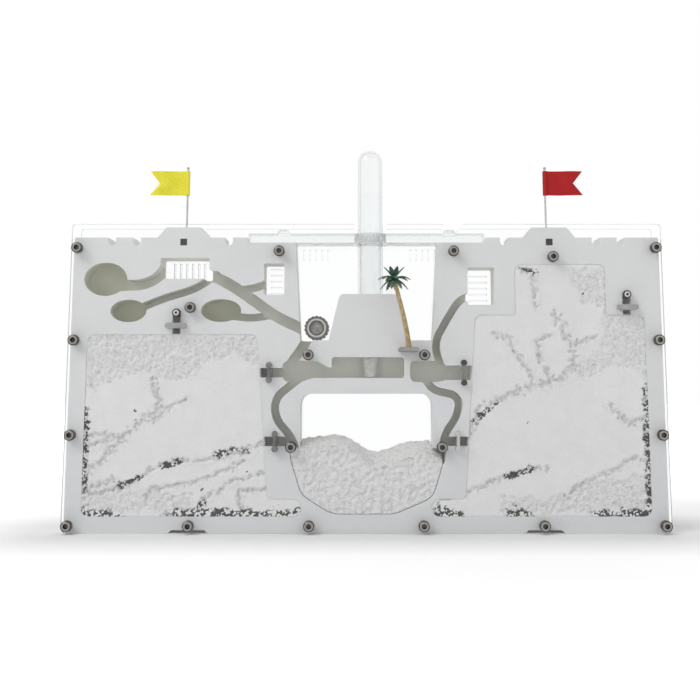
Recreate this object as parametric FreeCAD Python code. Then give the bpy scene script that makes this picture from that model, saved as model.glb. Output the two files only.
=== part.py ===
import FreeCAD, Part
import math
import os
from FreeCAD import Vector

# Upright ant habitat: a routed white board between two clear covers.
# X runs along the front, Y from the front to the back, Z up from the bottom edge.
# The origin is the middle of the bottom edge, half way through the board.

os.makedirs("parts", exist_ok=True)

# covers and board
plate_width = 300.0
plate_height = 153.5
plate_corner = 3.0
cover_thickness = 2.5
board_thickness = 15.0
board_inset = 1.0
board_corner = 2.0
top_step = 6.7
ledge_step = 2.6
pocket_floor = 2.5

# tabs, top notches and finger notches
tower_from_side = 55.7
tab_base = 26.6
tab_top = 18.2
tab_height = 5.2
notch_width = 4.0
notch_depth = 4.0
notch_from_side = (19.2, 31.9, 78.8)
finger_width = 20.0
finger_height = 1.7
finger_from_tower = 5.5

# open basin in the middle
outworld_floor_drop = 52.3
outworld_bottom_width = 67.0
outworld_top_width = 72.4
ledge_reach = 24.5
ledge_corner = 1.8
block_bottom_width = 40.2
block_top_width = 28.9
block_height = 23.4
block_corner = 2.5
block_shift = 1.0

# glass tube, its socket and the cotton
tube_radius = 6.5
tube_wall = 1.0
tube_length = 100.2
tube_clearance = 0.08
tube_plug_length = 14.0
tube_mouth_drop = 0.6
wick_radius = 4.2
wick_clearance = 0.3
water_level = 62.0
collar_wall = 1.6
collar_height = 4.2

# drinking place under the block
recess_width = 36.6
recess_height = 10.4
recess_corner = 1.5
recess_drop = 8.4

# lid strip over the basin
lid_height = 4.8
lid_gap = 0.3
lid_cut_height = 4.5
knob_width = 7.0
knob_height = 2.2
knob_from_centre = 42.6

# window and sand basin
window_width = 66.1
window_corner = 5.5
window_below_recess = 7.9
basin_half_width = 38.0
basin_top = 41.0
basin_floor = 9.0
sand_gap = 0.2

# nests
nest_side_wall = 8.2
nest_floor = 8.0
nest_corner = 4.0
nest_above_basin_floor = 3.0
nest_inner_top = 54.8
nest_inner_bottom = 49.0
outlet_height = 8.6
outlet_reach = 17.0
right_loft_top_drop = 13.6
right_loft_width = 46.2
right_loft_from_side = 27.6
right_shoulder = 9.9

# tunnels
wide_tunnel = 5.6
tunnel_width = 4.1
narrow_tunnel = 3.9
passage_height = 4.7
tall_passage = 7.2

# tunnel gates
gate_bead = 1.45
gate_web = 1.4
gate_over = 5.6
gate_proud = 1.6
gate_clearance = 0.08
upper_gate_from_centre = 48.8
lower_gate_from_centre = 45.5

# water ports with their cross gates
port_radius = 1.5
port_head_radius = 2.05
port_head_height = 0.9
port_depth = 5.0
port_clearance = 0.06
port_channel = 4.1
cross_gate_width = 10.6
cross_gate_height = 2.7
cross_gate_below_port = 6.5
left_port_from_tower = 2.6
left_port_above_nest = 10.8
right_port_from_side = 17.3
right_port_above_nest = 10.2

# vent windows and slits
vent_corner = 0.9
slit_width = 0.8
slit_pitch = 3.15

# screws and nuts
screw_radius = 1.5
screw_head_radius = 2.75
screw_head_height = 3.0
socket_flats = 2.5
socket_depth = 1.5
nut_flats = 5.5
nut_height = 2.4
screw_hole_clearance = 0.1
screw_row = 3.8
screw_from_edge = 3.3

# flags
pin_radius = 0.5
pin_clearance = 0.05
holder_size = 3.4
holder_drop = 2.3
pin_tip_depth = 4.0
pin_head_radius = 0.9
flag_bottom = 23.4
flag_height = 12.8
flag_length = 19.6
flag_tail = 5.0
flag_thickness = 0.4
sleeve_radius = 1.25

# palm
palm_x = 21.0
palm_stand_off = 7.5
palm_slot_width = 10.0
palm_slot_height = 2.1
palm_slot_drop = 4.8
palm_slot_depth = 6.0
palm_clearance = 0.08
palm_lean = 7.2
trunk_height = 33.0
trunk_foot_radius = 1.35
trunk_top_radius = 0.85
leaf_count = 8
leaf_reach = 7.6
leaf_rise = 4.4
leaf_droop = 5.2
leaf_width = 2.6
leaf_thickness = 0.7

# feeding cup
cup_x = -25.2
cup_radius = 6.2
cup_depth = 6.5
cup_grooves = 18
cup_groove = 1.5
cup_groove_depth = 0.5
cup_wall = 1.0
cup_rim_radius = 4.9
cup_front_gap = 0.8

# derived positions
half_plate = plate_width / 2
board_half = half_plate - board_inset
front_face = -board_thickness / 2
back_face = board_thickness / 2
cover_front = front_face - cover_thickness
cover_back = back_face + cover_thickness
pocket_back = back_face - pocket_floor
board_top = plate_height - top_step
ledge_z = board_top - ledge_step
tower_x = board_half - tower_from_side
outworld_floor = board_top - outworld_floor_drop
nest_top = outworld_floor + nest_above_basin_floor
recess_top = outworld_floor - recess_drop
recess_bottom = recess_top - recess_height
window_top = recess_bottom - window_below_recess
block_top = outworld_floor + block_height
tube_x = block_shift + 1.0
tube_mouth = outworld_floor - tube_mouth_drop
tube_top = tube_mouth + tube_length
nest_outer = board_half - nest_side_wall
ledge_end = outworld_top_width / 2 + ledge_reach
lid_bottom = ledge_z + 0.02
lid_top = lid_bottom + lid_height
collar_radius = tube_radius + tube_clearance + collar_wall
upper_gate_z = recess_bottom + 2.6
lower_gate_z = basin_top + 3.4
right_shoulder_z = nest_top + right_shoulder
loft_top = board_top - right_loft_top_drop
loft_right = board_half - right_loft_from_side
loft_left = loft_right - right_loft_width


def box(x0, x1, y0, y1, z0, z1):
    return Part.makeBox(x1 - x0, y1 - y0, z1 - z0, Vector(x0, y0, z0))


def rod_y(x, z, radius, y0, y1):
    return Part.makeCylinder(radius, y1 - y0, Vector(x, y0, z), Vector(0, 1, 0))


def rod_z(x, y, radius, z0, z1):
    return Part.makeCylinder(radius, z1 - z0, Vector(x, y, z0), Vector(0, 0, 1))


def rounded(points, radii, place):
    """Closed outline through the corners, each rounded with its own radius."""
    corners = [place(a, b) for a, b in points]
    edges = []
    ends = []
    count = len(corners)
    for i, corner in enumerate(corners):
        before = corners[i - 1] - corner
        after = corners[(i + 1) % count] - corner
        radius = radii[i] if isinstance(radii, (list, tuple)) else radii
        if radius <= 0:
            ends.append((corner, corner, None))
            continue
        half_angle = before.getAngle(after) / 2
        cut = min(radius / math.tan(half_angle), 0.49 * before.Length, 0.49 * after.Length)
        radius = cut * math.tan(half_angle)
        before.normalize()
        after.normalize()
        inward = before + after
        inward.normalize()
        centre = corner + inward * (radius / math.sin(half_angle))
        ends.append((corner + before * cut, corner + after * cut, centre - inward * radius))
    for i, (enter, leave, middle) in enumerate(ends):
        if middle is not None:
            edges.append(Part.Arc(enter, middle, leave).toShape())
        following = ends[(i + 1) % count][0]
        if leave.distanceToPoint(following) > 1e-6:
            edges.append(Part.LineSegment(leave, following).toShape())
    return Part.Face(Part.Wire(edges))


def panel(points, radii, y0, y1):
    """Outline in the front view, carried from y0 to y1."""
    face = rounded(points, radii, lambda x, z: Vector(x, y0, z))
    return face.extrude(Vector(0, y1 - y0, 0))


def window(x0, x1, z0, z1, radius, y0, y1):
    return panel([(x0, z0), (x1, z0), (x1, z1), (x0, z1)], radius, y0, y1)


def oval(x, z, half_width, half_height, y0, y1):
    ellipse = Part.Ellipse(Vector(x, y0, z), half_width, half_height)
    ellipse.rotate(FreeCAD.Placement(Vector(x, y0, z), FreeCAD.Rotation(Vector(1, 0, 0), 90),
                                     Vector(0, 0, 0)))
    face = Part.Face(Part.Wire([ellipse.toShape()]))
    return face.extrude(Vector(0, y1 - y0, 0))


def tunnel(points, width, y0, y1):
    """Groove of even width along a centreline of runs joined by tangent arcs."""
    line = [Vector(x, y0, z) for x, z in points]
    half = width / 2
    if len(line) == 2:
        along = (line[1] - line[0]).normalize() * half
        across = Vector(-along.z, 0, along.x)
        first, last = line[0] - along, line[1] + along
        corners = [first - across, last - across, last + across, first + across]
        return panel([(corner.x, corner.z) for corner in corners], half * 0.999, y0, y1)
    edges = []
    start = line[0]
    for before, corner, after in zip(line, line[1:], line[2:]):
        into = corner - before
        out = after - corner
        cut = 0.48 * min(into.Length, out.Length)
        into.normalize()
        out.normalize()
        half_turn = into.getAngle(out) / 2
        radius = cut / math.tan(half_turn)
        aside = out - into
        aside.normalize()
        centre = corner + aside * (radius / math.cos(half_turn))
        enter = corner - into * cut
        leave = corner + out * cut
        edges.append(Part.LineSegment(start, enter).toShape())
        edges.append(Part.Arc(enter, centre - aside * radius, leave).toShape())
        start = leave
    edges.append(Part.LineSegment(start, line[-1]).toShape())
    outline = Part.Wire(edges).makeOffset2D(half, 0, False, False, False)
    return Part.Face(outline).extrude(Vector(0, y1 - y0, 0))


def joined(shapes):
    whole = shapes[0].fuse(shapes[1:]) if len(shapes) > 1 else shapes[0]
    return whole.removeSplitter()


def save(name, shape):
    shape.exportStep("parts/" + name + ".step")


def screw_places():
    """Front view positions of the screws, in mirrored pairs and two single ones."""
    side = half_plate - screw_from_edge
    middle_row = (outworld_floor + nest_floor) / 2 - 3.6
    places = []
    for sign in (-1, 1):
        places += [
            (sign * side, screw_row),
            (sign * side, middle_row),
            (sign * side, outworld_floor),
            (sign * side, board_top - 5.6),
            (sign * (tower_x - 6.0), screw_row),
            (sign * 28.2, screw_row),
            (sign * 37.4, basin_top + 0.7),
            (sign * 29.1, outworld_floor - 7.4),
            (sign * 44.2, ledge_z - 4.7),
        ]
    places.append((-(tower_x - 4.7), outworld_floor + 16.3))
    places.append((tower_x + 1.2, loft_top + 3.4))
    return places


def tunnel_gates():
    """Name, place and passage height of the four gates that close the tunnels."""
    return [
        ("gate_upper_left", -upper_gate_from_centre, upper_gate_z, passage_height),
        ("gate_upper_right", upper_gate_from_centre, upper_gate_z, tall_passage),
        ("gate_lower_left", -lower_gate_from_centre, lower_gate_z, passage_height),
        ("gate_lower_right", lower_gate_from_centre, lower_gate_z, passage_height),
    ]


def ports():
    """Name and place of the two water ports."""
    return [
        ("left", -(tower_x + left_port_from_tower), nest_top + left_port_above_nest),
        ("right", board_half - right_port_from_side, right_shoulder_z + right_port_above_nest),
    ]


def gate_outline(x, z, passage, grow, y0, y1):
    """Bone-shaped section: a thin web between two round beads."""
    reach = (passage + gate_over) / 2 - gate_bead
    web = box(x - gate_web / 2 - grow, x + gate_web / 2 + grow, y0, y1, z - reach, z + reach)
    beads = [rod_y(x, z + side * reach, gate_bead + grow, y0, y1) for side in (-1, 1)]
    return web, beads


def slot(x, z, width, height, grow, y0, y1):
    """Flat slot with round ends, lying along X."""
    half = width / 2 + grow
    tall = height / 2 + grow
    return window(x - half, x + half, z - tall, z + tall, tall * 0.999, y0, y1)


def left_nest(grow, y0, y1):
    reach = nest_inner_bottom - outlet_reach - grow
    outlet_top = nest_floor + outlet_height + grow
    return panel(
        [(-nest_outer - grow, nest_top + grow), (-nest_inner_top + grow, nest_top + grow),
         (-nest_inner_bottom + grow, outlet_top), (-reach, outlet_top),
         (-reach, nest_floor - grow), (-nest_outer - grow, nest_floor - grow)],
        [nest_corner, nest_corner, 2.5, outlet_height / 2, outlet_height / 2, nest_corner],
        y0, y1)


def right_nest(grow, y0, y1):
    reach = nest_inner_bottom - outlet_reach - grow
    outlet_top = nest_floor + outlet_height + grow
    shoulder = right_shoulder_z + grow
    return panel(
        [(loft_left - grow, loft_top + grow), (loft_right + grow, loft_top + grow),
         (loft_right + grow, shoulder), (nest_outer + grow, shoulder),
         (nest_outer + grow, nest_floor - grow), (reach, nest_floor - grow),
         (reach, outlet_top), (nest_inner_bottom - grow, outlet_top),
         (nest_inner_top - grow, shoulder), (loft_left - grow, shoulder)],
        [nest_corner, nest_corner, 1.5, nest_corner, nest_corner, outlet_height / 2,
         outlet_height / 2, 2.5, nest_corner, 1.5],
        y0, y1)


def sand_bowl(grow, y0, y1):
    """Round-bottomed bowl under the window."""
    side = basin_half_width + grow
    floor = basin_floor - grow
    return panel(
        [(-side, basin_top), (-side, floor + 27.0), (-side + 5.5, floor + 9.5),
         (-side + 20.5, floor), (side - 24.0, floor), (side - 5.0, floor + 8.0),
         (side, floor + 24.0), (side, basin_top)],
        [1.5, 9, 10, 16, 14, 10, 9, 1.5], y0, y1)


def sand_window(grow, y0, y1):
    half = window_width / 2 + grow
    return panel([(-half, basin_top - 8.0), (half, basin_top - 8.0),
                  (half, window_top + grow), (-half, window_top + grow)],
                 [0, 0, window_corner, window_corner], y0, y1)


def outworld(y0, y1, top):
    """Open basin with slightly flared sides, cut from the floor to the given top."""
    slope = (outworld_top_width - outworld_bottom_width) / 2 / (ledge_z - outworld_floor)
    half = outworld_bottom_width / 2
    wide = half + slope * (top - outworld_floor)
    return panel([(-half, outworld_floor), (half, outworld_floor), (wide, top), (-wide, top)],
                 [1.2, 1.2, 0, 0], y0, y1)


def tube_block(y0, y1):
    """Sloping block that rises from the basin floor and holds the tube."""
    low = block_bottom_width / 2
    high = block_top_width / 2
    return panel([(block_shift - low, outworld_floor - 3.0), (block_shift + low, outworld_floor - 3.0),
                  (block_shift + low, outworld_floor), (block_shift + high, block_top),
                  (block_shift - high, block_top), (block_shift - low, outworld_floor)],
                 [0, 0, 0, block_corner, block_corner, 0], y0, y1)


def vent_windows():
    """Place and size of the vent windows: x0, x1, z0, z1."""
    return [
        (-(tower_x + 11.5), -(tower_x - 13.4), board_top - 21.1, board_top - 10.5),
        (-52.1, -41.7, board_top - 29.2, board_top - 13.3),
        (51.4, 64.9, board_top - 34.4, board_top - 15.3),
    ]


def round_chambers():
    """Place and half sizes of the round chambers in the left tower."""
    return [
        (-(tower_x + 39.1), board_top - 21.4, 10.9, 8.5),
        (-(tower_x + 27.1), outworld_floor + 14.8, 9.1, 5.7),
        (-(tower_x - 19.7), outworld_floor + 15.0, 10.2, 5.8),
    ]


def tunnels():
    """Centreline and width of each tunnel in the board."""
    window_low = board_top - 21.1
    gate_z = upper_gate_z
    low_z = lower_gate_z
    side_inner = nest_inner_top + 2.0
    return [
        # first chamber to the tower's vent window
        ([(-(tower_x + 31.0), board_top - 24.6), (-(tower_x + 20.0), board_top - 24.2),
          (-(tower_x + 13.0), board_top - 21.0), (-(tower_x + 9.0), board_top - 15.5)], wide_tunnel),
        # second chamber to the foot of the vent window
        ([(-(tower_x + 21.0), outworld_floor + 16.3), (-(tower_x + 10.0), outworld_floor + 21.0),
          (-(tower_x - 7.1), outworld_floor + 26.1), (-(tower_x - 17.0), window_low + 2.0)],
         tunnel_width),
        # foot of the vent window to the basin
        ([(-(tower_x - 10.5), window_low + 3.0), (-(tower_x - 22.0), board_top - 22.6),
          (-58.0, board_top - 31.5), (-46.5, outworld_floor + 12.2), (-30.0, outworld_floor + 4.6)],
         wide_tunnel),
        # inner vent window into the same passage
        ([(-49.0, board_top - 22.4), (-55.0, board_top - 25.6), (-63.5, board_top - 27.0)],
         tunnel_width),
        # third chamber into the same passage
        ([(-(tower_x - 26.0), outworld_floor + 12.2), (-58.0, outworld_floor + 11.0),
          (-49.0, outworld_floor + 12.5)], narrow_tunnel),
        # basin to the left junction, junction to the sand bowl
        ([(-29.0, outworld_floor + 2.0), (-32.4, outworld_floor - 4.0),
          (-37.8, recess_top - 3.0)], wide_tunnel - 0.6),
        ([(-34.6, recess_bottom - 1.0), (-45.8, recess_bottom - 10.0), (-45.6, basin_top + 14.8),
          (-36.6, basin_top + 4.6), (-34.0, basin_top - 6.0)], tunnel_width),
        # right vent window past the basin corner to the right junction
        ([(54.5, board_top - 29.6), (47.3, board_top - 31.6), (42.0, outworld_floor + 12.8),
          (35.4, outworld_floor + 1.2), (34.8, outworld_floor - 5.0), (38.0, recess_top - 6.0)],
         narrow_tunnel),
        # right junction to the sand bowl
        ([(28.6, recess_bottom + 1.0), (33.0, recess_bottom - 6.0), (46.6, recess_bottom - 9.0),
          (45.4, basin_top + 15.8), (38.8, basin_top + 7.0), (37.0, basin_top - 6.0)],
         narrow_tunnel),
        # passages through the four gates
        ([(-side_inner, gate_z), (-40.0, gate_z)], passage_height),
        ([(37.0, gate_z), (side_inner, gate_z)], tall_passage),
        ([(-side_inner, low_z), (-39.0, low_z)], passage_height),
        ([(39.5, low_z), (side_inner, low_z)], passage_height),
    ]


def junctions(y0, y1):
    """Meeting chambers either side of the drinking place."""
    left_end = tube_x - recess_width / 2
    right_start = tube_x + recess_width / 2 + 1.6
    left = panel([(-42.5, recess_top - 1.9), (-25.5, recess_top - 1.9), (-19.2, recess_bottom + 5.2),
                  (left_end, recess_bottom + 5.2), (left_end, recess_bottom),
                  (-27.0, recess_bottom), (-33.0, recess_bottom - 2.1),
                  (-42.5, recess_bottom - 2.1)],
                 [3.5, 2, 1, 0, 0, 3, 3, 4], y0, y1)
    right = panel([(right_start, recess_top - 1.9), (34.0, recess_top - 1.9),
                   (40.5, recess_bottom + 6.4), (40.5, recess_bottom - 1.2),
                   (34.0, recess_bottom - 2.1), (right_start, recess_bottom - 2.1)],
                  [2.5, 4, 2, 2, 4, 3], y0, y1)
    return [left, right]


def bottom_fingers(y0, y1):
    """Shallow finger notches in the bottom edge, one under each tower."""
    notches = []
    for sign in (-1, 1):
        middle = sign * (tower_x - finger_from_tower)
        low = finger_width / 2
        notches.append(panel([(middle - low, -1.0), (middle + low, -1.0), (middle + low, 0.0),
                              (middle + low - finger_height, finger_height),
                              (middle - low + finger_height, finger_height), (middle - low, 0.0)],
                             0, y0, y1))
    return notches


def make_board():
    y0, y1 = front_face, back_face
    deep = pocket_back
    solid = panel([(-board_half, 0), (board_half, 0), (board_half, board_top),
                   (-board_half, board_top)],
                  [board_corner, board_corner, 0.6, 0.6], y0, y1)
    tabs = []
    for sign in (-1, 1):
        middle = sign * tower_x
        tabs.append(panel([(middle - tab_base / 2, board_top - 1.0),
                           (middle + tab_base / 2, board_top - 1.0),
                           (middle + tab_base / 2, board_top),
                           (middle + tab_top / 2, board_top + tab_height),
                           (middle - tab_top / 2, board_top + tab_height),
                           (middle - tab_base / 2, board_top)],
                          [0, 0, 0, 1.0, 1.0, 0], y0, y1))
    solid = joined([solid] + tabs)

    through = [panel([(-ledge_end, ledge_z), (ledge_end, ledge_z), (ledge_end, board_top + 1),
                      (-ledge_end, board_top + 1)],
                     [ledge_corner, ledge_corner, 0, 0], y0 - 1, y1 + 1)]
    through.append(outworld(y0 - 1, y1 + 1, ledge_z + 1.0).cut(tube_block(y0 - 1, y1 + 1)))
    through += bottom_fingers(y0 - 1, y1 + 1)
    for distance in notch_from_side:
        for sign in (-1, 1):
            x = sign * (board_half - distance)
            bottom = board_top - notch_depth
            through.append(rod_y(x, bottom + notch_width / 2, notch_width / 2, y0 - 1, y1 + 1))
            through.append(box(x - notch_width / 2, x + notch_width / 2, y0 - 1, y1 + 1,
                               bottom + notch_width / 2, board_top + 1))
    through.append(sand_window(0, y0 - 1, y1 + 1))
    through.append(sand_bowl(0, y0 - 1, y1 + 1))
    for x0, x1, z0, z1 in vent_windows():
        through.append(window(x0, x1, z0, z1, vent_corner, y0 - 1, y1 + 1))
    for x, z in screw_places():
        through.append(rod_y(x, z, screw_radius + screw_hole_clearance, y0 - 1, y1 + 1))

    pockets = [left_nest(0, y0 - 1, deep), right_nest(0, y0 - 1, deep)]
    for x, z, half_width, half_height in round_chambers():
        pockets.append(oval(x, z, half_width, half_height, y0 - 1, deep))
    for points, width in tunnels():
        pockets.append(tunnel(points, width, y0 - 1, deep))
    pockets += junctions(y0 - 1, deep)
    pockets.append(window(tube_x - 1.2 - recess_width / 2, tube_x - 1.2 + recess_width / 2,
                          recess_bottom, recess_top, recess_corner, y0 - 1, deep))
    for name, x, z, passage in tunnel_gates():
        web, beads = gate_outline(x, z, passage, gate_clearance, y0 - 1, deep)
        pockets += [web] + beads
    for name, x, z in ports():
        pockets.append(tunnel([(x, z), (x, nest_top - 2.0)], port_channel, y0 - 1, deep)
                       if name == "left" else
                       tunnel([(x, z), (x, right_shoulder_z - 2.0)], port_channel, y0 - 1, deep))
        pockets.append(slot(x, z - cross_gate_below_port, cross_gate_width, cross_gate_height,
                            gate_clearance, y0 - 1, deep))
    pockets.append(slot(palm_x, outworld_floor - palm_slot_drop, palm_slot_width,
                        palm_slot_height, palm_clearance, y0 - 1, y0 + palm_slot_depth))

    socket = rod_z(tube_x, 0, tube_radius + tube_clearance, tube_mouth, block_top + 1)
    wick_way = rod_z(tube_x, 0, wick_radius + wick_clearance, recess_top - 0.5, tube_mouth + 1)
    holders = []
    for sign in (-1, 1):
        x = sign * tower_x
        holders.append(holder_block(x, 0.05))
        holders.append(rod_z(x, 0, pin_radius + pin_clearance, board_top - holder_drop,
                             board_top + tab_height + 1))
    return solid.cut(through + pockets + [socket, wick_way] + holders).removeSplitter()


def holder_block(x, grow):
    """Square rubber block let into the board's face under a tab."""
    half = holder_size / 2 + grow
    z = board_top - holder_drop
    return box(x - half, x + half, front_face - grow, 2.0 + grow, z - half, z + half)


def cover_outline(y0, y1):
    """Outline shared by both covers, with the lid's gap and the tube's gap."""
    whole = panel([(-half_plate, 0), (half_plate, 0), (half_plate, plate_height),
                   (-half_plate, plate_height)],
                  [plate_corner, plate_corner, 1.5, 1.5], y0, y1)
    gap_bottom = plate_height - lid_cut_height
    knob_left = knob_from_centre - knob_width / 2
    knob_right = knob_from_centre + knob_width / 2
    knob_gap = panel([(knob_left, gap_bottom), (knob_right, gap_bottom),
                      (knob_right, plate_height - 3.0), (knob_right + 3.0, plate_height),
                      (knob_right + 3.0, plate_height + 2.0), (knob_left, plate_height + 2.0)],
                     [0.6, 0.6, 2.0, 0, 0, 0], y0 - 1, y1 + 1)
    tube_half = collar_radius - 0.2
    tube_gap = panel([(tube_x - tube_half, ledge_z), (tube_x + tube_half, ledge_z),
                      (tube_x + tube_half, plate_height - 1.2),
                      (tube_x + tube_half + 0.8, plate_height + 2.0),
                      (tube_x - tube_half - 0.8, plate_height + 2.0),
                      (tube_x - tube_half, plate_height - 1.2)],
                     [1.5, 1.5, 1.5, 0, 0, 1.5], y0 - 1, y1 + 1)
    holes = [rod_y(x, z, screw_radius + screw_hole_clearance, y0 - 1, y1 + 1)
             for x, z in screw_places()]
    return whole.cut([knob_gap, tube_gap] + bottom_fingers(y0 - 1, y1 + 1) + holes)


def make_front_cover():
    y0, y1 = cover_front, front_face
    cuts = []
    for name, x, z, passage in tunnel_gates():
        web, beads = gate_outline(x, z, passage, gate_clearance, y0 - 1, y1 + 1)
        cuts += [web] + beads
    for name, x, z in ports():
        cuts.append(rod_y(x, z, port_radius + port_clearance, y0 - 1, y1 + 1))
        cuts.append(slot(x, z - cross_gate_below_port, cross_gate_width, cross_gate_height,
                         gate_clearance, y0 - 1, y1 + 1))
    cuts.append(slot(palm_x, outworld_floor - palm_slot_drop, palm_slot_width,
                     palm_slot_height, palm_clearance, y0 - 1, y1 + 1))
    return cover_outline(y0, y1).cut(cuts).removeSplitter()


def slit_row(x, z, length, count, along_x, y0, y1):
    """Row of slits centred on x, z; along_x lays each slit along X."""
    slits = []
    for i in range(count):
        shift = (i - (count - 1) / 2) * slit_pitch
        if along_x:
            slits.append(box(x - length / 2, x + length / 2, y0, y1,
                             z + shift - slit_width / 2, z + shift + slit_width / 2))
        else:
            slits.append(box(x + shift - slit_width / 2, x + shift + slit_width / 2, y0, y1,
                             z - length / 2, z + length / 2))
    return slits


def make_back_cover():
    y0, y1 = back_face, cover_back
    slits = []
    for i, (x0, x1, z0, z1) in enumerate(vent_windows()):
        x, z = (x0 + x1) / 2, (z0 + z1) / 2
        if i == 0:
            slits += slit_row(x, z, z1 - z0 - 2.6, 6, False, y0 - 1, y1 + 1)
        else:
            slits += slit_row(x, z, x1 - x0 - 4.2, 5, True, y0 - 1, y1 + 1)
    for x in (-26.4, 29.2):
        slits += slit_row(x, ledge_z - 4.6, 5.6, 5, False, y0 - 1, y1 + 1)
    return cover_outline(y0, y1).cut(slits).removeSplitter()


def hexagon(x, z, flats, y0, y1):
    reach = flats / math.sqrt(3)
    points = [(x + reach * math.cos(math.radians(60 * i)), z + reach * math.sin(math.radians(60 * i)))
              for i in range(6)]
    return panel(points, 0, y0, y1)


def make_screw(x, z):
    """Cap screw through both covers, its head standing proud of the front."""
    head = rod_y(x, z, screw_head_radius, cover_front - screw_head_height, cover_front)
    shank = rod_y(x, z, screw_radius, cover_front - 1.0, cover_back + nut_height)
    socket = hexagon(x, z, socket_flats, cover_front - screw_head_height - 1.0,
                     cover_front - screw_head_height + socket_depth)
    return head.fuse(shank).cut(socket).removeSplitter()


def make_nut(x, z):
    nut = hexagon(x, z, nut_flats, cover_back, cover_back + nut_height)
    return nut.cut(rod_y(x, z, screw_radius, cover_back - 1.0, cover_back + nut_height + 1.0))


def make_lid():
    """Clear strip on the board's ledge, cut round the tube's collar, with two pull knobs."""
    half = board_thickness / 2 - lid_gap
    end = ledge_end - 0.5
    strip = panel([(-end, lid_bottom), (end, lid_bottom), (end, lid_top), (-end, lid_top)],
                  [ledge_corner, ledge_corner, 0.8, 0.8], -half, half)
    knobs = []
    for sign in (-1, 1):
        x = sign * knob_from_centre
        low = knob_width / 2 - 0.5
        face = rounded([(x - low, lid_top - 1.0), (x + low, lid_top - 1.0),
                        (x + low, lid_top + knob_height), (x - low, lid_top + knob_height)],
                       [0, 0, 2.0, 2.0], lambda a, b: Vector(a, -half + 2.0, b))
        knobs.append(face.extrude(Vector(0, 2 * half - 4.0, 0)))
    hole = rod_z(tube_x, 0, collar_radius, lid_bottom - 1, lid_top + 1)
    return joined([strip] + knobs).cut(hole).removeSplitter()


def make_collar():
    """Soft ring that grips the tube, held between the two halves of the lid."""
    outer = rod_z(tube_x, 0, collar_radius, lid_bottom, lid_bottom + collar_height)
    lip = rod_z(tube_x, 0, collar_radius - 0.7, lid_bottom, lid_top + 0.5)
    return outer.fuse(lip).cut(rod_z(tube_x, 0, tube_radius + tube_clearance, lid_bottom - 1,
                                     lid_top + 2)).removeSplitter()


def make_tube():
    """Glass tube, open at the bottom, with a round closed top."""
    centre_z = tube_top - tube_radius
    outer = rod_z(tube_x, 0, tube_radius, tube_mouth, centre_z)
    outer = outer.fuse(Part.makeSphere(tube_radius, Vector(tube_x, 0, centre_z)))
    inner_radius = tube_radius - tube_wall
    inner = rod_z(tube_x, 0, inner_radius, tube_mouth - 1, centre_z)
    inner = inner.fuse(Part.makeSphere(inner_radius, Vector(tube_x, 0, centre_z)))
    return outer.cut(inner).removeSplitter()


def make_water():
    """Water above the cotton plug."""
    low = tube_mouth + tube_plug_length
    return rod_z(tube_x, 0, tube_radius - tube_wall - 0.02, low, low + water_level)


def make_cotton():
    """Cotton plug in the mouth and the tuft that hangs into the drinking place."""
    plug = rod_z(tube_x, 0, tube_radius - tube_wall - 0.02, tube_mouth,
                 tube_mouth + tube_plug_length)
    neck = rod_z(tube_x, 0, wick_radius, recess_top - 1.2, tube_mouth + 1.0)
    tuft = Part.makeCone(wick_radius - 1.4, wick_radius, recess_height - 1.6,
                         Vector(tube_x, 0, recess_bottom + 0.4), Vector(0, 0, 1))
    return joined([plug, neck, tuft])


def make_gate(x, z, passage):
    """Clear web and the two dark beads that guide it."""
    y0 = cover_front - gate_proud
    y1 = pocket_back - 0.1
    web, beads = gate_outline(x, z, passage, 0, y0, y1)
    return web.cut(beads), beads


def make_sand_bowl():
    """Heaped sand: its front edge dips in the middle and the back lies higher."""
    y0, y1 = front_face + 0.05, back_face - 0.05
    half = basin_half_width - sand_gap
    fill = sand_bowl(-sand_gap, y0, y1)
    upper = sand_window(-sand_gap, y0, y1)
    fill = joined([fill, upper])
    front = [(-half, 0.0), (-21.0, 1.2), (-9.0, -0.2), (3.5, -8.8), (16.0, -6.6), (25.0, -3.4),
             (half, -6.2)]
    back = [(-half, 3.0), (-24.0, 5.6), (-9.0, 4.6), (3.5, -2.0), (16.0, 1.4), (26.0, 3.6),
            (half, 1.0)]
    sections = []
    for y, crest in ((y0 - 0.5, front), (y1 + 0.5, back)):
        line = Part.BSplineCurve()
        line.interpolate([Vector(x, y, basin_top + z) for x, z in crest])
        left = Vector(-half, y, basin_floor - 5.0)
        right = Vector(half, y, basin_floor - 5.0)
        sections.append(Part.Wire([
            line.toShape(),
            Part.LineSegment(Vector(half, y, basin_top + crest[-1][1]), right).toShape(),
            Part.LineSegment(right, left).toShape(),
            Part.LineSegment(left, Vector(-half, y, basin_top + crest[0][1])).toShape()]))
    heap = Part.makeLoft(sections, True, True)
    shanks = [rod_y(x, z, screw_radius + screw_hole_clearance, y0 - 1, y1 + 1)
              for x, z in screw_places()]
    return fill.common(heap).cut(shanks)


def make_pin(sign):
    x = sign * tower_x
    tip = board_top + tab_height - pin_tip_depth - 4.0
    top = board_top + flag_bottom + flag_height + 0.8
    rod = rod_z(x, 0, pin_radius, tip, top)
    knob = Part.makeCone(pin_radius, pin_head_radius, pin_head_radius, Vector(x, 0, top))
    cap = Part.makeCone(pin_head_radius, pin_radius, pin_radius,
                        Vector(x, 0, top + pin_head_radius))
    return joined([rod, knob, cap])


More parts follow.
